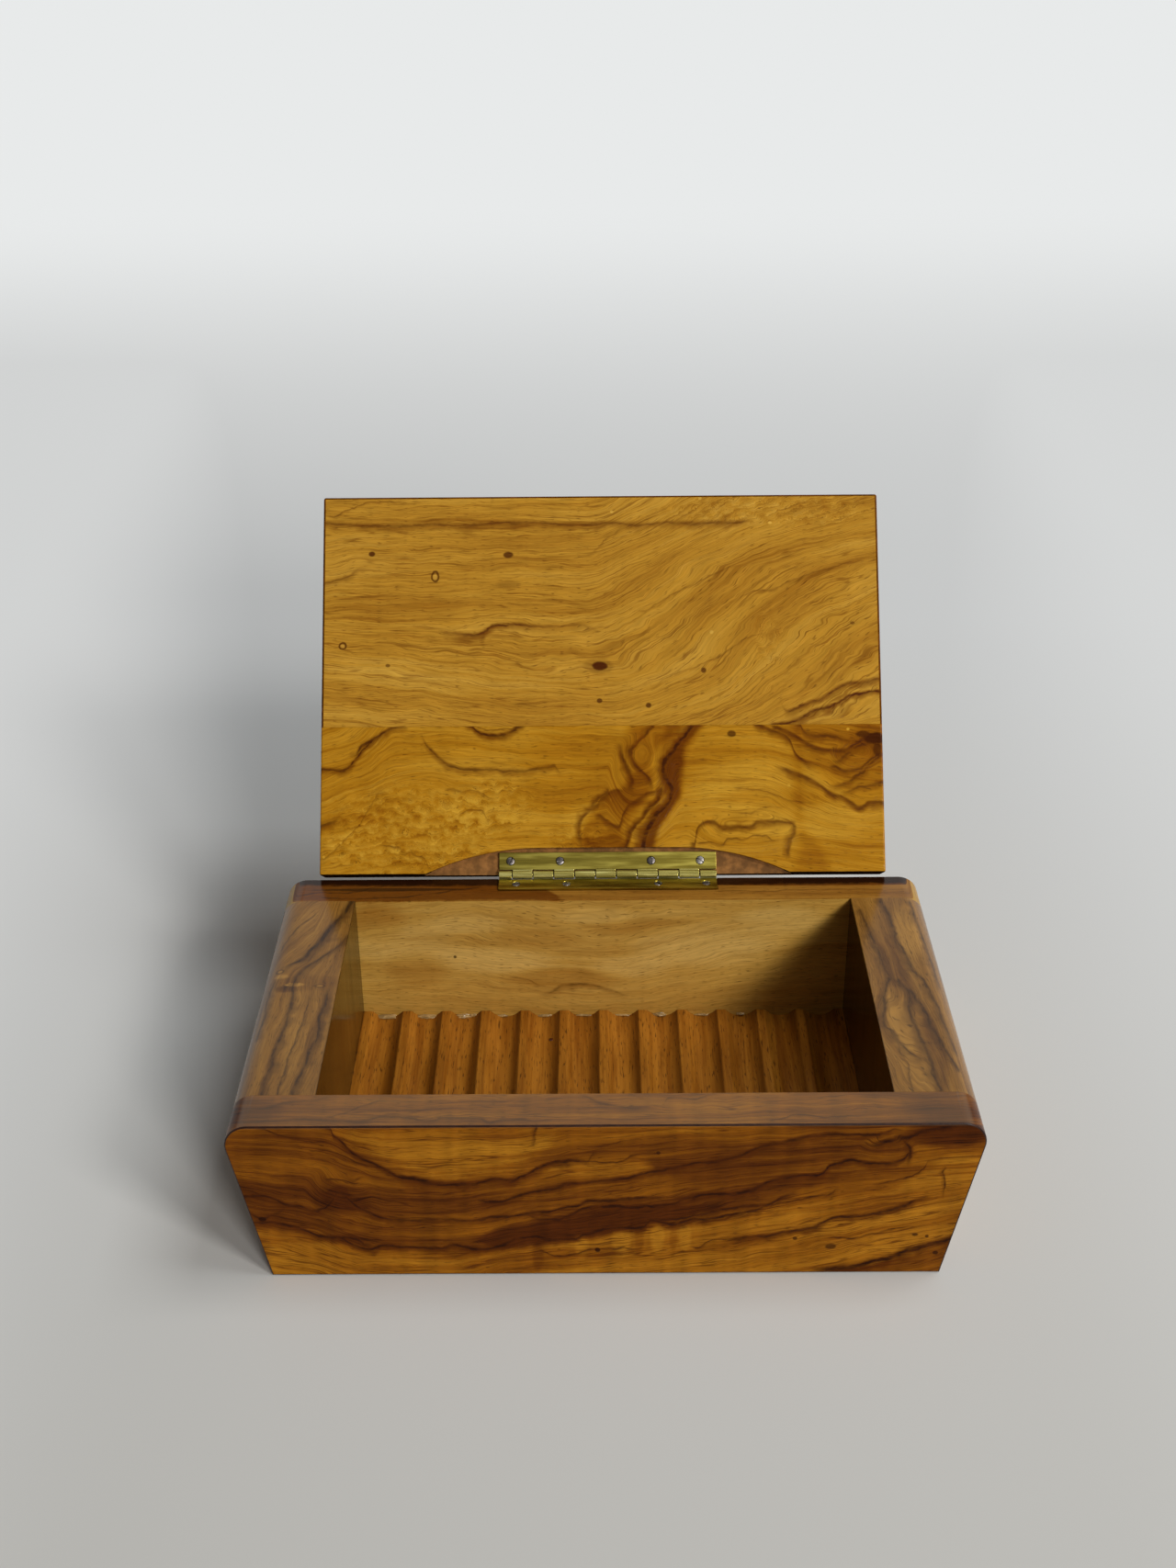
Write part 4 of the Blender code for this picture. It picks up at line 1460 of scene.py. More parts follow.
LID_REAR_FIGURE = Figure(
    guides=each(
        Guide,
        (5, ((-84, -3), (-60, 0), (0, 0), (40, 2), (60, 0), (84, -3))),
        (22, ((-84, -8), (-70, -2), (-55, 2), (-40, 0), (-20, 0), (0, 1), (30, 4), (45, 4), (60, -3),
            (76, -9), (84, -9))),
        (40, ((-84, -10), (-72, -6), (-60, 3), (-45, 3), (0, 0), (40, 1), (60, -1), (84, -4))),
    ),
    veins=(
        *Stroke.HAIR.veins(
            (0.7, (-37.5, 44), (-33, 43), (-27.5, 43), (-24.5, 44)),
            (0.5, (-82, 5), (-77, 9), (-72.5, 14), (-69, 19), (-64.5, 24.5, 0.4)),
            (0.6, (-63.5, 8.5), (-60, 8.5), (-58.5, 6.5, 0.4)),
            (0.6, (-55.5, 6), (-52, 4.5), (-51, 2, 0.4)),
            (0.6, (-41, 18.5), (-38, 19), (-35.5, 19), (-34, 16.5, 0.4)),
            (0.6, (-45, 25.5), (-41, 24.5), (-38.5, 25), (-35.5, 24), (-32.5, 22.5, 0.4)),
            (0.8, (29, 9), (32, 9), (35, 8.5), (37, 10), (39.5, 10), (41.5, 9.5), (45, 11), (48, 11),
              (50, 9.5, 0.6)),
            (0.5, (40.5, 25), (48.5, 24), (55, 21.5), (62, 20.5, 0.4)),
            (0.5, (41.5, 17.5), (47, 19), (53, 19.5, 0.4)),
        ),
        *Stroke.LINE.veins(
            (1, (-83, 31.5, 0.8), (-77.5, 31, 0.8), (-74.5, 32.5, 0.9), (-72, 35.5), (-69, 38.5),
              (-66.5, 41, 0.9), (-62.5, 43.3, 0.8), (-59, 44, 0.5)),
            (1, (-39, 44, 0.9), (-37, 42.5), (-34, 41.5), (-30.5, 41.3), (-27.5, 42, 0.9), (-24, 44, 0.6)),
            (0.7, (-54.5, 42, 0), (-52, 38.5, 0.7), (-49.5, 36), (-47, 33.5), (-44, 32), (-38.5, 31),
              (-33, 31, 0.7), (-27.5, 30.5), (-23.5, 30.5, 0.7), (-20, 31, 0.8), (-14, 32, 0.7),
              (-12.5, 30, 0.3)),
            (0.6, (-83, 14.5), (-80.5, 15.5), (-77.5, 17, 0.1)),
            (0.7, (59, 43.5), (60, 41.7), (63.5, 40.7), (68, 40.5), (72.5, 39, 0.6)),
            (0.6, (83, 27), (78.5, 25.5), (74.5, 25), (72, 23.5, 0.5)),
            (0.7, (82.5, 35), (80, 32.5), (77.5, 30), (74.5, 28), (72.5, 26.5), (68, 25.5, 0.4)),
            (0.7, (77, 38), (73, 35.5), (69.5, 33, 0.6)),
            (0.7, (69, 31.5), (72, 30), (76, 30.5), (79, 32.5), (81.5, 35)),
        ),
        *Stroke.CORD.veins(
            (0.8, (-73, 35.5, 0.4), (-71, 38), (-68.5, 39.5), (-66.5, 41, 0.5)),
        ),
        *Stroke.RIBBON.veins(
            (0.7, (-4, 19), (-1.5, 20.5), (-0.5, 22), (1, 23), (4.5, 24.5)),
            (0.7, (-0.5, 17), (2, 15), (4.5, 13.8), (5.5, 15.5), (6.5, 18), (9, 20.5), (12.5, 23),
              (17, 24.5, 0.5)),
            (0.8, (46.5, 43.5), (50.5, 42), (55, 40), (56.5, 37.5), (57.5, 35), (60, 32.8), (63, 32, 0.4)),
            (0.8, (52, 43), (56.5, 41), (59.5, 39), (63.5, 37), (67.5, 36), (71, 36), (74.5, 37.5),
              (77.5, 40)),
            (0.8, (53, 31, 0.5), (55.5, 30), (60.5, 28), (64.5, 25.5), (68, 23), (71, 22), (73.5, 20.5),
              (76, 19), (79, 20.5), (83, 20.5)),
            (0.7, (27, 8.5), (27.6, 11.5), (29.5, 14.5), (32.5, 15), (35.5, 13.5), (40, 13.5), (43, 13.5),
              (46, 15), (50.5, 15), (55.5, 14.5)),
        ),
        *Stroke.CORD.veins(
            (1, (27, 43.8), (24.5, 41), (22.5, 38.5), (20.5, 35.5), (19, 33.5), (18, 31), (19, 28),
              (20.5, 25), (20.3, 23), (18.5, 20), (16, 17), (14, 14), (12.5, 11.5), (12, 8)),
            axis=Axis.ACROSS,
        ),
        *Stroke.BAND.veins(
            (1, (28, 43.8), (25.5, 41), (23.5, 38.5), (21.5, 35.5), (20.5, 33), (20, 30), (20.5, 27),
              (21.5, 24), (19.5, 20), (15.5, 14), (13.5, 8)),
            axis=Axis.ACROSS,
        ),
        *Stroke.RIBBON.veins(
            (0.9, (5.5, 37, 0.6), (6, 34.5), (7, 32.5), (8, 30), (9, 27), (8.5, 25, 0.5)),
            (0.7, (1.5, 24), (-1, 22), (-3.5, 19), (-6, 16.5), (-7, 13), (-6.5, 9, 0.4)),
            (0.8, (15, 43.5), (12.5, 41), (9.5, 38), (8.5, 35.5), (9.5, 33), (11.5, 30.5), (13.5, 28.5),
              (14.5, 26, 0.5)),
            (0.9, (17.5, 24.5), (15.5, 20.5), (13, 18), (11, 15.5), (8.5, 12), (7, 8.5)),
            (0.6, (55.5, 15), (56.5, 12), (55, 9), (54.5, 6)),
            axis=Axis.ACROSS,
        ),
    ),
    knots=each(Knot, (38.5, 41.3, 1.3, 1, 0.8), (80.8, 39.8, 3.4, 1.7, 0.98), (77.5, 41, 2.2, 1, 0.8),
        (81.5, 36.5, 1.2, 2, 0.7), (55.2, 25.8, 0.5, 0.5, -1), (-29.3, 15.5, 0.5, 0.6, -1),
        (-82, 5.4, 0.4, 0.4, -1), (-77, 9.5, 0.4, 0.4, -1), (73, 42.5, 0.5, 0.4, -1)),
    zones=(
        Zone(0.32, ((27, 44), (24.5, 41), (22.5, 38.5), (20.5, 35.5), (19, 33.5), (18, 31), (19, 28),
            (20.5, 25), (20.3, 23), (18.5, 20), (16, 17), (14, 14), (12.5, 11.5), (12, 8)), ((31, 44),
            (29, 41), (27.5, 38.5), (25.5, 35.5), (25, 33.5), (24.5, 31), (24, 28), (24.2, 25), (23.5, 23),
            (22, 20), (20, 17), (17.5, 14), (16, 11.5), (16, 8)), 2.4, Axis.ACROSS),
        Zone(0.34, ((7, 44), (6.5, 38), (8, 32), (6, 27), (0, 22), (-5, 17), (-8, 11), (-7, 8)), ((26, 44),
            (19, 38), (16, 32), (16, 27), (13, 22), (10, 17), (8, 11), (8, 8)), 3.5, Axis.ACROSS),
        Zone(0.14, ((46, 44), (56, 37), (60, 33), (69, 24), (76, 19), (83, 20)), ((0, 60),), 4),
        Zone(0.2, ((55, 0), (57, 8), (56, 14)), ((68, 0), (65, 8), (60, 14)), 3, Axis.ACROSS),
        Zone(0.16, ((30, 21), (45, 20), (60, 19), (70, 21)), ((30, 21), (45, 26), (60, 24), (70, 21)), 2.5),
    ),
    swells=each(Swell, (12, 24, 9, 15, 13), (42, 11, 14, 5.5, 5), (75, 34, 6.5, 4, 4)),
    patches=each(Patch, (21, 33, 3.5, 12, 0.25), (42, 26, 16, 8, -0.2), (-20, 40, 30, 6, 0.06),
        (-6, 28, 20, 14, 0.14), (62, 14, 18, 7, -0.14), (-2, 17, 10, 6, -0.15), (-30, 12, 26, 8, -0.1),
        (80, 39, 7, 5, 0.2)),
    burl=each(Patch, (-58, 12, 26, 15, 0.9), (-32, 20, 14, 9, 0.6), (-8, 10, 10, 6, 0.5)),
    ground=0.62, lines=0.3, boldness=0.26, seed=67,
)


@dataclass
class Walls:
    """The four walls: two boards with rounded shoulders and the end blocks between them."""

    height: float = 47.6
    foot_half: float = 84.6
    flat_half: float = 86.8
    shoulder: float = 6.0
    lean: float = 11.3
    shoulder_steps: int = 14
    front_face: float = -57.0
    back_face: float = 57.0
    front_thickness: float = 12.4
    back_thickness: float = 11.7
    compartment_half: float = 71.5
    joint: float = 0.03
    outer_ease: float = 0.4
    inner_ease: float = 0.25
    seat_depth: float = 0.3
    seat_play: float = 0.2
    seat_gap: float = 0.05
    front_wood: OliveWood = OliveWood(
        paint(172, 114, 26), paint(138, 82, 13), paint(104, 56, 9), paint(80, 37, 6), paint(40, 15, 4),
        lacquer=0.46, lacquer_from=46.8, ripple=0.6, painted_sheen=0.14,
    )
    end_wood: OliveWood = OliveWood(
        paint(180, 132, 60), paint(148, 104, 44), paint(118, 78, 32), paint(76, 48, 22), paint(36, 22, 12),
        lacquer=0.34,
    )
    # painted shade on the inner faces of the left and right end blocks
    painted_inner_shades: tuple[float, float] = (0.25, 0.16)
    back_wood: OliveWood = OliveWood(
        paint(212, 172, 92), paint(194, 150, 68), paint(164, 114, 41), paint(112, 62, 14), paint(38, 17, 6),
        lacquer=0.35, lacquer_from=46.8,
    )
    edge: RubbedEdge = RubbedEdge(paint(38, 16, 5))

    def rounded(self, outline: Outline, middle: float) -> Outline:
        """Swings round a shoulder."""
        return outline.arc(middle, self.height - self.shoulder, 90.0 + self.lean, self.shoulder_steps)

    def climb(self, outline: Outline) -> Outline:
        """Draws the leaning side on the right and the rounded shoulder above it.

        Args:
            outline: The outline so far.

        Returns:
            The same outline.
        """
        lean = math.radians(self.lean)
        side = self.flat_half + self.shoulder * math.cos(lean)
        low = self.height - self.shoulder - self.shoulder * math.sin(lean)
        return self.rounded(outline.line((self.foot_half, 0.0), (side, low)), self.flat_half)

    def section(self) -> Outline:
        """Outline of the whole box, seen from the front."""
        outline = self.climb(Outline(-self.foot_half, 0.0)).line((-self.flat_half, self.height))
        return self.rounded(outline, -self.flat_half)

    def ease_top(self, solid: Solid, axis: int, place: float) -> None:
        """Rounds the top edge that runs along the inside.

        Args:
            solid: The wall.
            axis: Axis across that edge.
            place: Where the edge lies on it.
        """
        solid.eased(
            lambda edge: lies_at(edge, axis, place) and lies_at(edge, 1, self.height), self.inner_ease
        )

    def front_board(self) -> None:
        """Builds the front board, its outer face drawn round with a dark eased edge."""
        solid = self.section().solid(-self.front_thickness)
        solid.eased(lambda edge: lies_at(edge, 2, 0.0), self.outer_ease, 3, 1)
        self.ease_top(solid, 2, -self.front_thickness)
        wood = self.front_wood.material("front_board_wood", FRONT_FRAME, FRONT_FIGURE)
        finishes = [wood, self.edge.material("rubbed_edge")]
        solid.moved(FRONT_FRAME.matrix()).piece("front_board", finishes, "box", "body_wood")

    def back_board(self, hinge: "Hinge") -> None:
        """Builds the back board with the shallow seat of the hinge.

        Args:
            hinge: The hinge that is let in.
        """
        solid = self.section().solid(-self.back_thickness)
        outside = -self.back_thickness
        start, end = hinge.start - self.seat_play, hinge.start + hinge.length + self.seat_play
        past_top, past_outside = 5.0, -20.0
        low = (start, self.height - self.seat_depth, past_outside)
        high = (end, self.height + past_top, outside + hinge.leaf_width + self.seat_gap)
        solid.carved(Solid.block(low, high))
        solid.eased(lambda edge: lies_at(edge, 2, outside) and not lies_at(edge, 1, 0.0), self.outer_ease)
        self.ease_top(solid, 2, 0.0)
        finishes = [self.back_wood.material("back_board_wood", BACK_FRAME, BACK_FIGURE)]
        solid.moved(BACK_FRAME.matrix()).piece("back_board", finishes, "box", "body_wood")

    def end_block(self, side: int, name: str, frame: BoardFrame, figure: Figure) -> None:
        """Builds one end block, upright inside and leaning outside.

        Args:
            side: -1 for the left block, 1 for the right one.
            name: The node that it stands for.
            frame: Frame of its figure.
            figure: Its figure.
        """
        outline = self.climb(Outline(self.compartment_half, 0.0)).line((self.compartment_half, self.height))
        near = self.front_face + self.front_thickness + self.joint
        far = self.back_face - self.back_thickness - self.joint
        solid = outline.solid(far - near)
        self.ease_top(solid, 0, self.compartment_half)
        solid.moved(Matrix.Diagonal((side, 1.0, 1.0, 1.0)) @ BoardFrame((0.0, far, 0.0), UPRIGHT).matrix())
        wood = replace(self.end_wood, painted_inner_shade=self.painted_inner_shades[side > 0])
        solid.piece(name, [wood.material(f"{name}_wood", frame, figure)], "box", "body_wood")

    def build(self, hinge: "Hinge") -> None:
        """Builds all four.

        Args:
            hinge: The hinge that is let into the back board.
        """
        self.front_board()
        self.back_board(hinge)
        self.end_block(-1, "left_end_block", LEFT_FRAME, LEFT_FIGURE)
        self.end_block(1, "right_end_block", RIGHT_FRAME, RIGHT_FIGURE)


@dataclass
class GroovedFloor:
    """The floor board, with a round-bottomed groove for each cigarette."""

    grooves: int = 12
    pitch: float = 11.7
    depth: float = 2.3
    ridge: float = 2.6
    thickness: float = 8.8
    near: float = -44.55
    far: float = 45.25
    joint: float = 0.03
    groove_steps: int = 16
    ridge_ease: float = 0.35
    wood: StraightWood = StraightWood(paint(184, 119, 35), paint(138, 79, 14), paint(60, 27, 5), pitch)
    glue: DriedGlue = DriedGlue(paint(190, 154, 96))
    resin: DriedGlue = DriedGlue(paint(74, 10, 8))
    drop: tuple[float, float, float] = (-15.3, 32.9, 7.0)
    drop_half: tuple[float, float, float] = (0.55, 0.7, 0.22)
    blobs: tuple[tuple[float, ...], ...] = (
        (-64.6, 7.0, 3.6, 0.55, 1.3), (-53.0, 6.9, 3.4, 0.5, 1.2), (-42.2, 6.9, 2.6, 0.7, 1.2),
        (-38.6, 7.1, 1.2, 0.5, 0.8), (-30.0, 6.9, 1.6, 0.35, 0.6), (-17.5, 6.9, 2.2, 0.3, 0.6),
        (-6.0, 6.9, 2.4, 0.3, 0.5), (5.8, 6.9, 2.4, 0.3, 0.5), (16.8, 7.1, 1.9, 0.6, 0.9),
        (29.4, 6.9, 2.2, 0.3, 0.5), (41.0, 7.1, 1.2, 0.5, 0.7),
    )

    def build(self) -> None:
        """Builds the board, the dried glue at the ends of its grooves and a drop of resin."""
        half = (self.grooves * self.pitch + self.ridge) / 2 - self.joint
        chord = self.pitch - self.ridge
        radius = (chord ** 2 / 4 + self.depth ** 2) / (2 * self.depth)
        sweep = 2 * math.degrees(math.asin(chord / 2 / radius))
        outline = Outline(-half, 0.0).line((half, 0.0), (half, self.thickness))
        for i in range(self.grooves):
            middle = ((self.grooves - 1) / 2 - i) * self.pitch
            outline.line((middle + chord / 2, self.thickness))
            outline.arc(middle, self.thickness - self.depth + radius, -sweep, self.groove_steps)
        solid = outline.line((-half, self.thickness)).solid(self.far - self.near)

        def ridges(edge: bmesh.types.BMEdge) -> bool:
            """True for the edges of the ridges, but not for those of the board."""
            inside = abs(edge.verts[0].co.x) < half - self.ridge / 2
            return inside and lies_at(edge, 1, self.thickness) and corner(edge, 25)

        solid.eased(ridges, self.ridge_ease, 3)
        solid.moved(BoardFrame((0.0, self.far, 0.0), UPRIGHT).matrix())
        solid.piece("grooved_floor", [self.wood.material("floor_wood")], "box", "floor_wood")
        first, *others = (
            Solid.blob((x, self.far, z), (wide, reach, tall), float(i))
            for i, (x, z, wide, tall, reach) in enumerate(self.blobs)
        )
        finishes = [self.glue.material("dried_glue")]
        first.joined(*others).piece("dried_glue", finishes, "box", "floor_wood", added=True)
        drop = Solid.blob(self.drop, self.drop_half, 3.0)
        drop.piece("resin_drop", [self.resin.material("resin")], "box", "floor_wood", added=True)


@dataclass
class Lid:
    """The lid's two boards, the rear one with the hinge recess in its inner face."""

    half_width: float = 83.2
    length: float = 114.0
    seam: float = 44.0
    joint: float = 0.02
    thickness: float = 9.0
    recess_depth: float = 2.4
    recess_reach: float = 7.8
    recess_radius: float = 78.0
    recess_straight: float = 20.11
    recess_middle: float = 1.55
    recess_steps: int = 14
    front_ease: float = 0.65
    rear_ease: float = 0.6
    front_wood: OliveWood = OliveWood(
        paint(208, 162, 66), paint(184, 134, 42), paint(154, 102, 25), paint(114, 64, 12), paint(70, 24, 6),
        ring_width=1.7, lacquer=0.05,
    )
    rear_wood: OliveWood = OliveWood(
        paint(202, 152, 46), paint(176, 121, 22), paint(144, 88, 10), paint(106, 54, 5), paint(64, 27, 4),
        ring_width=1.7, lacquer=0.05,
    )
    edge: RubbedEdge = RubbedEdge(paint(84, 46, 10), shine=0.0)
    painted_rear_shade: RubbedEdge = RubbedEdge(paint(30, 15, 6), 0.6, 0.0)
    bare: RubbedEdge = RubbedEdge(paint(118, 80, 40), 0.6, 0.1)

    def front_board(self) -> None:
        """Builds the wide front board."""
        seam = self.seam + self.joint
        solid = Solid.block((-self.half_width, seam, -self.thickness), (self.half_width, self.length, 0.0))
        solid.eased(lambda edge: not lies_at(edge, 1, seam), self.front_ease, 3, 1)
        wood = self.front_wood.material("lid_front_wood", LID_FRAME, LID_FRONT_FIGURE)
        finishes = [wood, self.edge.material("lid_edge")]
        solid.moved(LID_FRAME.matrix()).piece("lid_front_board", finishes, "lid", "lid_wood")

    def recess(self) -> Solid:
        """Shapes what the hinge recess takes out: straight in the middle, with swept ends.

        Returns:
            The solid to cut with.
        """
        sweep = math.degrees(math.acos(1.0 - self.recess_reach / self.recess_radius))
        left, right = self.recess_middle - self.recess_straight, self.recess_middle + self.recess_straight
        end = self.recess_radius * math.sin(math.radians(sweep))
        middle = self.recess_reach - self.recess_radius
        past_edge, past_face = -4.0, 6.0
        outline = Outline(right + end, past_edge).line((right + end, 0.0))
        outline.arc(right, middle, sweep, self.recess_steps)
        outline.line((left, self.recess_reach)).arc(left, middle, sweep, self.recess_steps)
        outline.line((left - end, past_edge))
        return outline.solid(past_face).moved(Matrix.Translation((0.0, 0.0, -self.recess_depth)))

    def rear_board(self) -> None:
        """Builds the rear board with the recess, its rear edge painted dark as shade and the recess in
        finishes of their own.
        """
        seam = self.seam - self.joint
        solid = Solid.block((-self.half_width, 0.0, -self.thickness), (self.half_width, seam, 0.0))
        solid.carved(self.recess())
        outer = ((0, -self.half_width), (0, self.half_width), (1, 0.0), (2, -self.thickness))

        def rounded(edge: bmesh.types.BMEdge) -> bool:
            """Picks the outer edges, but not those at the seam, in the recess or over the box's back.

            Args:
                edge: An edge of the board.

            Returns:
                True if it is rounded.
            """
            return (
                corner(edge)
                and any(lies_at(edge, axis, value) for axis, value in outer)
                and not lies_at(edge, 1, seam)
                and not lies_at(edge, 2, -self.recess_depth)
                and not (lies_at(edge, 1, 0.0) and lies_at(edge, 2, -self.thickness))
            )

        solid.eased(rounded, self.rear_ease, 3)
        # painted shade: the rear edge over the box's back is near black, as in the dark gap there
        tilt, reach, hair = -0.4, 1.0, 0.01
        solid.painted(lambda face: face.normal.y < tilt and face.calc_center_median().y < reach, 1)
        solid.painted(lambda face: abs(face.calc_center_median().z + self.recess_depth) < hair, 2)
        wood = self.rear_wood.material("lid_rear_wood", LID_FRAME, LID_REAR_FIGURE)
        finishes = [wood, self.painted_rear_shade.material("lid_rear_edge_painted_shade"), self.bare.material("lid_bare_wood")]
        solid.moved(LID_FRAME.matrix()).piece("lid_rear_board", finishes, "lid", "lid_wood")


class Leaf(Enum):
    """Which leaf of the hinge: on the box below the axis, or on the lid above it."""

    BOX = 1
    LID = -1

    @property
    def body(self) -> str:
        """The body that it rides on."""
        return self.name.lower()


@dataclass
class Hinge:
    """Short piece of continuous hinge, drawn about its axis: two curled leaves, a pin and eight screws."""

    start: float = -30.4
    length: float = 63.9
    first_knuckle: float = 3.8
    pitch: float = 6.13
    gap: float = 0.16
    knuckle_radius: float = 1.2
    bore: float = 0.66
    pin_play: float = 0.03
    curl: float = 318.0
    mouth: float = 45.0
    curl_steps: int = 24
    bore_steps: int = 20
    screw_steps: int = 32
    leaf_thickness: float = 0.7
    leaf_width: float = 6.7
    leaf_ease: float = 0.12
    knuckle_ease: float = 0.1
    flat_edge: float = 1.5
    axis: tuple[float, float, float] = (0.0, 57.15, 48.8)
    open_degrees: float = 125.6
    screw_line: float = 4.1
    head_radius: float = 1.15
    hole: Points = ((0, 1), (2.02, 1), (1.32, 0.02), (0.8, -0.75), (0, -0.75))
    dome: Points = ((0, 0.10), (0.5, 0.085), (0.82, 0.04), (0.97, -0.02), (1.0, -0.08))
    shank: Points = ((0.7, -0.68), (0.7, -4.8), (0, -6.0))
    slot: Points = ((-3.0, -0.24, -0.4), (3.0, 0.24, 1.0))
    box_shares: tuple[float, ...] = (0.08, 0.31, 0.73, 0.95)
    lid_shares: tuple[float, ...] = (0.052, 0.28, 0.70, 0.926)
    box_turns: tuple[float, ...] = (0.35, 1.20, 2.30, 0.10)
    lid_turns: tuple[float, ...] = (1.05, 0.20, 1.75, 2.60)
    lid_brass: RolledMetal = RolledMetal(paint(200, 184, 86), paint(164, 146, 60), 0.30, 0.35)
    box_brass: RolledMetal = RolledMetal(paint(190, 170, 64), paint(148, 128, 42), 0.30, 0.5)
    # painted highlight: the knuckles are paler and less metallic, standing in for the light that they catch
    painted_highlight_brass: RolledMetal = RolledMetal(paint(224, 214, 132), paint(186, 172, 88), 0.26, 0.35, 0.75)
    steel: RolledMetal = RolledMetal(paint(160, 156, 152), paint(100, 94, 92), 0.40, 0.5)
    # painted shade: the pin is dark brown, so that the gaps between the knuckles look shaded
    painted_shade_pin: RolledMetal = RolledMetal(paint(62, 52, 30), paint(36, 30, 18), 0.45, 0.5)
    painted_gap_shade: RubbedEdge = RubbedEdge(paint(34, 27, 12), 0.6, 0.1)

    @property
    def top(self) -> float:
        """Height of a plate's upper face above the axis."""
        return self.leaf_thickness - self.knuckle_radius

    def place(self, leaf: Leaf) -> Matrix:
        """Placement of what is drawn about the axis."""
        turn = 0.0 if leaf is Leaf.BOX else -math.radians(self.open_degrees)
        return Matrix.Translation(self.axis) @ Matrix.Rotation(turn, 4, "X")

    def spans(self) -> list[tuple[float, float]]:
        """Spaces the knuckles along the axis.

        Returns:
            Start and end of each, short of its neighbours by the gap.
        """
        cuts = [self.first_knuckle]
        while cuts[-1] + self.pitch < self.length - self.pitch / 2:
            cuts.append(cuts[-1] + self.pitch)
        starts = (0.0, *(cut + self.gap for cut in cuts))
        ends = (*(cut - self.gap for cut in cuts), self.length)
        return [(self.start + start, self.start + end) for start, end in zip(starts, ends)]

    def knuckle(self, start: float, end: float) -> Solid:
        """Draws one knuckle of the box's leaf: a tongue of the plate, curled round the pin.

        Args:
            start: Where it starts along the axis.
            end: Where it ends.

        Returns:
            The solid, its faces in the leaf's second finish, whose paler brass is painted highlight.
        """
        overlap = 0.3
        root = -self.flat_edge - overlap
        swing = self.curl - self.mouth
        turn = math.radians(swing - 90.0)
        outline = Outline(root, -self.knuckle_radius).line((0.0, -self.knuckle_radius))
        outline.arc(0.0, 0.0, swing, self.curl_steps)
        outline.line((self.bore * math.cos(turn), self.bore * math.sin(turn)))
        outline.arc(0.0, 0.0, -swing, self.bore_steps)
        outline.line((-self.flat_edge * 0.5, self.top), (root, self.top))
        solid = outline.solid(end - start)
        ends = (0.0, end - start)
        solid.eased(
            lambda edge: corner(edge, 60) and any(lies_at(edge, 2, z) for z in ends), self.knuckle_ease
        )
        swap = Matrix(((0, 0, 1, start), (1, 0, 0, 0), (0, 1, 0, 0), (0, 0, 0, 1)))
        return solid.moved(swap).painted(lambda face: True, 1)

    def leaf(self, leaf: Leaf, kept: int, shares: Sequence[float], finish: bpy.types.Material) -> None:
        """Builds a leaf.

        Args:
            leaf: Which leaf.
            kept: 0 if it keeps the first knuckle, 1 if the second.
            shares: Places of its screws, as shares of its length.
            finish: Its material.
        """
        low = (self.start, -self.leaf_width, -self.knuckle_radius)
        plate = Solid.block(low, (self.start + self.length, -self.flat_edge, self.top))
        plate.eased(lambda edge: True, self.leaf_ease)
        first, *others = (
            Solid.turned(self.hole, self.screw_steps).moved(
                Matrix.Translation((self.start + self.length * share, -self.screw_line, self.top))
            )
            for share in shares
        )
        plate.carved(first.joined(*others))
        # painted shade: the plate's edge beside the knuckles is dark, as in the gap between the parts
        hair = 0.01
        inner = -self.flat_edge - self.leaf_ease - hair
        plate.painted(lambda face: face.calc_center_median().y > inner, 2)
        for start, end in self.spans()[kept::2]:
            plate.joined(self.knuckle(start, end))
        plate.moved(self.place(leaf) @ Matrix.Diagonal((1.0, 1.0, float(leaf.value), 1.0)))
        name = f"hinge_{leaf.body}_leaf"
        finishes = [
            finish, self.painted_highlight_brass.material(f"{name}_knuckles"), self.painted_gap_shade.material(f"{name}_gap"),
        ]
        plate.piece(name, finishes, leaf.body, "hinge_brass")

    def pin(self, finish: bpy.types.Material) -> None:
        """Builds the pin, its ends slightly domed.

        Args:
            finish: Its material.
        """
        half = self.length / 2
        radius = self.bore - self.pin_play
        flat, rise, taper = 0.6, 0.03, 0.2
        end = ((0, half), (radius * flat, half - rise), (radius, half - taper))
        other_end = ((r, -height) for r, height in end)
        solid = Solid.turned((*other_end, *reversed(end)), self.curl_steps)
        turn = Matrix.Rotation(math.radians(90.0), 4, "Y")
        solid.moved(self.place(Leaf.BOX) @ Matrix.Translation((self.start + half, 0.0, 0.0)) @ turn)
        solid.piece("hinge_pin", [finish], "box", "hinge_brass")

    def screws(
        self, leaf: Leaf, shares: Sequence[float], turns: Sequence[float], finish: bpy.types.Material
    ) -> None:
        """Builds the screws of one leaf, each slot turned its own way.

        Args:
            leaf: Which leaf.
            shares: Their places, as shares of its length.
            turns: Turn of each slot in radians.
            finish: Their material.
        """
        head = tuple((self.head_radius * share, height) for share, height in self.dome)
        side = Matrix.Identity(4) if leaf is Leaf.BOX else Matrix.Rotation(math.pi, 4, "X")
        for i, (share, turn) in enumerate(zip(shares, turns), start=1):
            solid = Solid.turned(head + self.shank, self.screw_steps).carved(Solid.block(*self.slot))
            spot = (self.start + self.length * share, -self.screw_line, self.top * leaf.value)
            solid.moved(self.place(leaf) @ Matrix.Translation(spot) @ side @ Matrix.Rotation(turn, 4, "Z"))
            solid.piece(f"hinge_{leaf.body}_screw_{i}", [finish], leaf.body, "screw_steel")

    def build(self) -> None:
        """Builds the whole hinge."""
        brass = self.box_brass.material("hinge_box_brass")
        steel = self.steel.material("screw_steel")
        self.leaf(Leaf.BOX, 0, self.box_shares, brass)
        self.leaf(Leaf.LID, 1, self.lid_shares, self.lid_brass.material("hinge_lid_brass"))
        self.pin(self.painted_shade_pin.material("hinge_pin_painted_shade"))
        self.screws(Leaf.BOX, self.box_shares, self.box_turns, steel)
        self.screws(Leaf.LID, self.lid_shares, self.lid_turns, steel)


# The studio


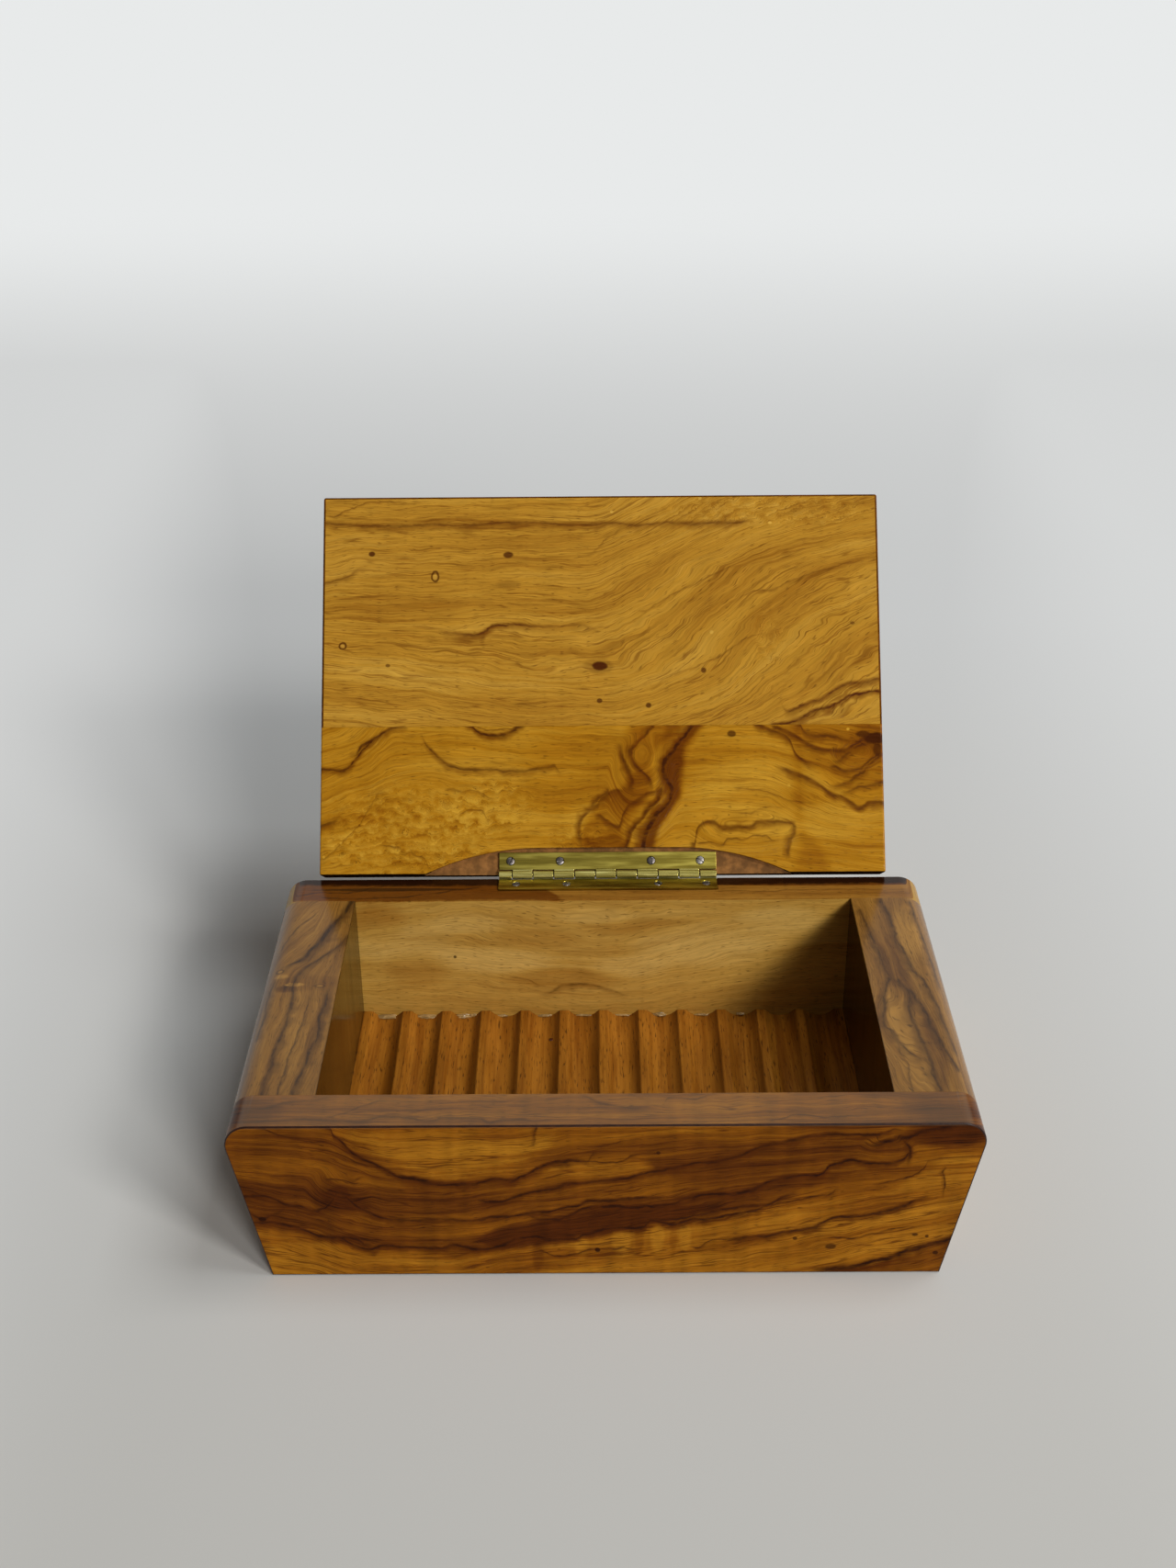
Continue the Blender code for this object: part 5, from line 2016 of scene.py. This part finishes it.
@dataclass(frozen=True)
class Lamp:
    """A square soft lamp that faces the box, its place and side in metres and its power in watts."""

    name: str
    place: tuple[float, float, float]
    side: float
    power: float
    colour: Colour
    aim: tuple[float, float, float] = (0.0, 0.0, 0.05)

    def build(self) -> None:
        """Sets the lamp up."""
        data = bpy.data.lights.new(self.name, "AREA")
        data.size = self.side
        data.energy = self.power
        data.color = self.colour
        lamp = shown(self.name, data)
        lamp.location = self.place
        away = Vector(self.place) - Vector(self.aim)
        lamp.rotation_euler = away.to_track_quat("Z", "Y").to_euler()


@dataclass
class Studio:
    """Camera, soft lamps and a plain pale floor."""

    camera_place: tuple[float, float, float] = (-1.172, -418.506, 339.663)
    pitch: float = 28.704
    yaw: float = -0.342
    roll: float = -0.523
    lens: float = 43.45
    sensor_height: float = 36.0
    clip: tuple[float, float] = (0.01, 50.0)
    floor_half: float = 8.0
    floor_drop: float = 0.0001
    floor_near: Colour = paint(206, 204, 197)
    floor_far: Colour = paint(238, 240, 240)
    floor_glow: Colour = paint(216, 217, 216)
    sky: Colour = paint(232, 234, 234)
    world_light: float = 0.10
    lamps: tuple[Lamp, ...] = (
        Lamp("key_lamp", (1.22, -2.74, 1.30), 0.60, 39.8, (1.0, 0.97, 0.94)),
        Lamp("side_lamp", (1.84, -1.84, 1.80), 0.60, 32.1, (1.0, 0.98, 0.96)),
        Lamp("top_lamp", (0.85, 0.05, 1.80), 0.9, 11.7, (0.97, 0.99, 1.0)),
    )

    def camera(self) -> None:
        """Places the camera at the viewing angle of the photograph."""
        pitch, yaw, roll = (math.radians(angle) for angle in (self.pitch, self.yaw, self.roll))
        ahead = Vector((math.sin(yaw) * math.cos(pitch), math.cos(yaw) * math.cos(pitch), -math.sin(pitch)))
        right = Vector((math.cos(yaw), -math.sin(yaw), 0.0))
        up = right.cross(ahead)
        across = math.cos(roll) * right + math.sin(roll) * up
        above = math.cos(roll) * up - math.sin(roll) * right
        turn = Matrix((across, above, -ahead)).transposed().to_4x4()
        data = bpy.data.cameras.new("camera")
        data.sensor_fit = "VERTICAL"
        data.sensor_height = self.sensor_height
        data.lens = self.lens
        data.clip_start, data.clip_end = self.clip
        camera = shown("camera", data)
        camera.matrix_world = Matrix.Translation(Vector(self.camera_place) * MM) @ turn
        bpy.context.scene.camera = camera

    def floor(self) -> None:
        """Lays the floor, just under the box."""
        mesh = bmesh.new()
        bmesh.ops.create_grid(mesh, x_segments=8, y_segments=8, size=self.floor_half)
        bmesh.ops.translate(mesh, verts=mesh.verts[:], vec=(0.0, 0.0, -self.floor_drop))
        data = as_mesh(mesh, "studio_floor")
        mesh.free()
        data.materials.append(self.floor_finish())
        shown("studio_floor", data)

    def floor_finish(self) -> bpy.types.Material:
        """Draws the matt pale floor, which keeps shadows, with light painted into it: paler farther behind
        the box and to its sides.

        Returns:
            The material.
        """
        graph = Graph.material("pale_floor")
        place = graph.place()
        x, depth, _ = graph.apart(place)
        _, seen = graph.seen()
        length = graph.add("ShaderNodeVectorMath", {"operation": "LENGTH"}, {0: place})
        distance = Signal(graph, length.outputs[1])
        # painted light: the floor's colour and glow grow paler farther behind the box and far to its sides
        pale = graph.mix(depth.span(0.1, 1.2).most(distance.span(0.8, 4.0)), self.floor_glow, self.sky)
        colour = graph.mix(depth.span(-0.35, 0.35), self.floor_near, self.floor_far)
        matt = graph.add("ShaderNodeBsdfDiffuse", None, {"Color": colour})
        glow = graph.add("ShaderNodeEmission", None, {"Color": pale})
        painted_side_light = abs(x).ease(0.10, 0.27) * 0.7
        share = seen * depth.ease(0.08, 1.15).most(distance.ease(0.6, 2.2)).most(painted_side_light)
        graph.blended(share, matt, glow, "ShaderNodeOutputMaterial")
        return graph.owner

    def world(self) -> None:
        """Sets even light all round, seen pale by the camera and by gloss, palest behind the box."""
        graph = Graph(bpy.data.worlds.new("studio"))
        bpy.context.scene.world = graph.owner
        straight, seen = graph.seen()
        light = graph.add("ShaderNodeBackground", None, {0: (1.0, 1.0, 1.0), 1: self.world_light})
        _, ahead, _ = graph.apart(graph.add("ShaderNodeTexCoord").outputs["Generated"])
        tones = ((0.0, paint(96, 96, 94)), (0.5, paint(168, 168, 165)), (0.85, paint(231, 232, 231)))
        gloss = graph.add("ShaderNodeValToRGB", {"stops": tones}, {0: ahead * 0.5 + 0.5})
        tone = graph.mix(straight, gloss.outputs[0], self.sky)
        pale = graph.add("ShaderNodeBackground", None, {0: tone, 1: 1.0})
        graph.blended(seen, light, pale, "ShaderNodeOutputWorld")

    def build(self) -> None:
        """Sets up the studio."""
        bpy.context.scene.view_settings.view_transform = "Standard"
        self.camera()
        self.floor()
        self.world()
        for lamp in self.lamps:
            lamp.build()
        LOG.info("studio: camera, %d lamps, floor and world", len(self.lamps))


def main() -> None:
    """Loads the frame and builds and dresses every piece."""
    logging.basicConfig(level=logging.INFO, format="%(message)s")
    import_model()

    Studio().build()
    hinge = Hinge()
    Walls().build(hinge)
    GroovedFloor().build()
    lid = Lid()
    lid.front_board()
    lid.rear_board()
    hinge.build()

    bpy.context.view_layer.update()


if __name__ == "__main__":
    main()
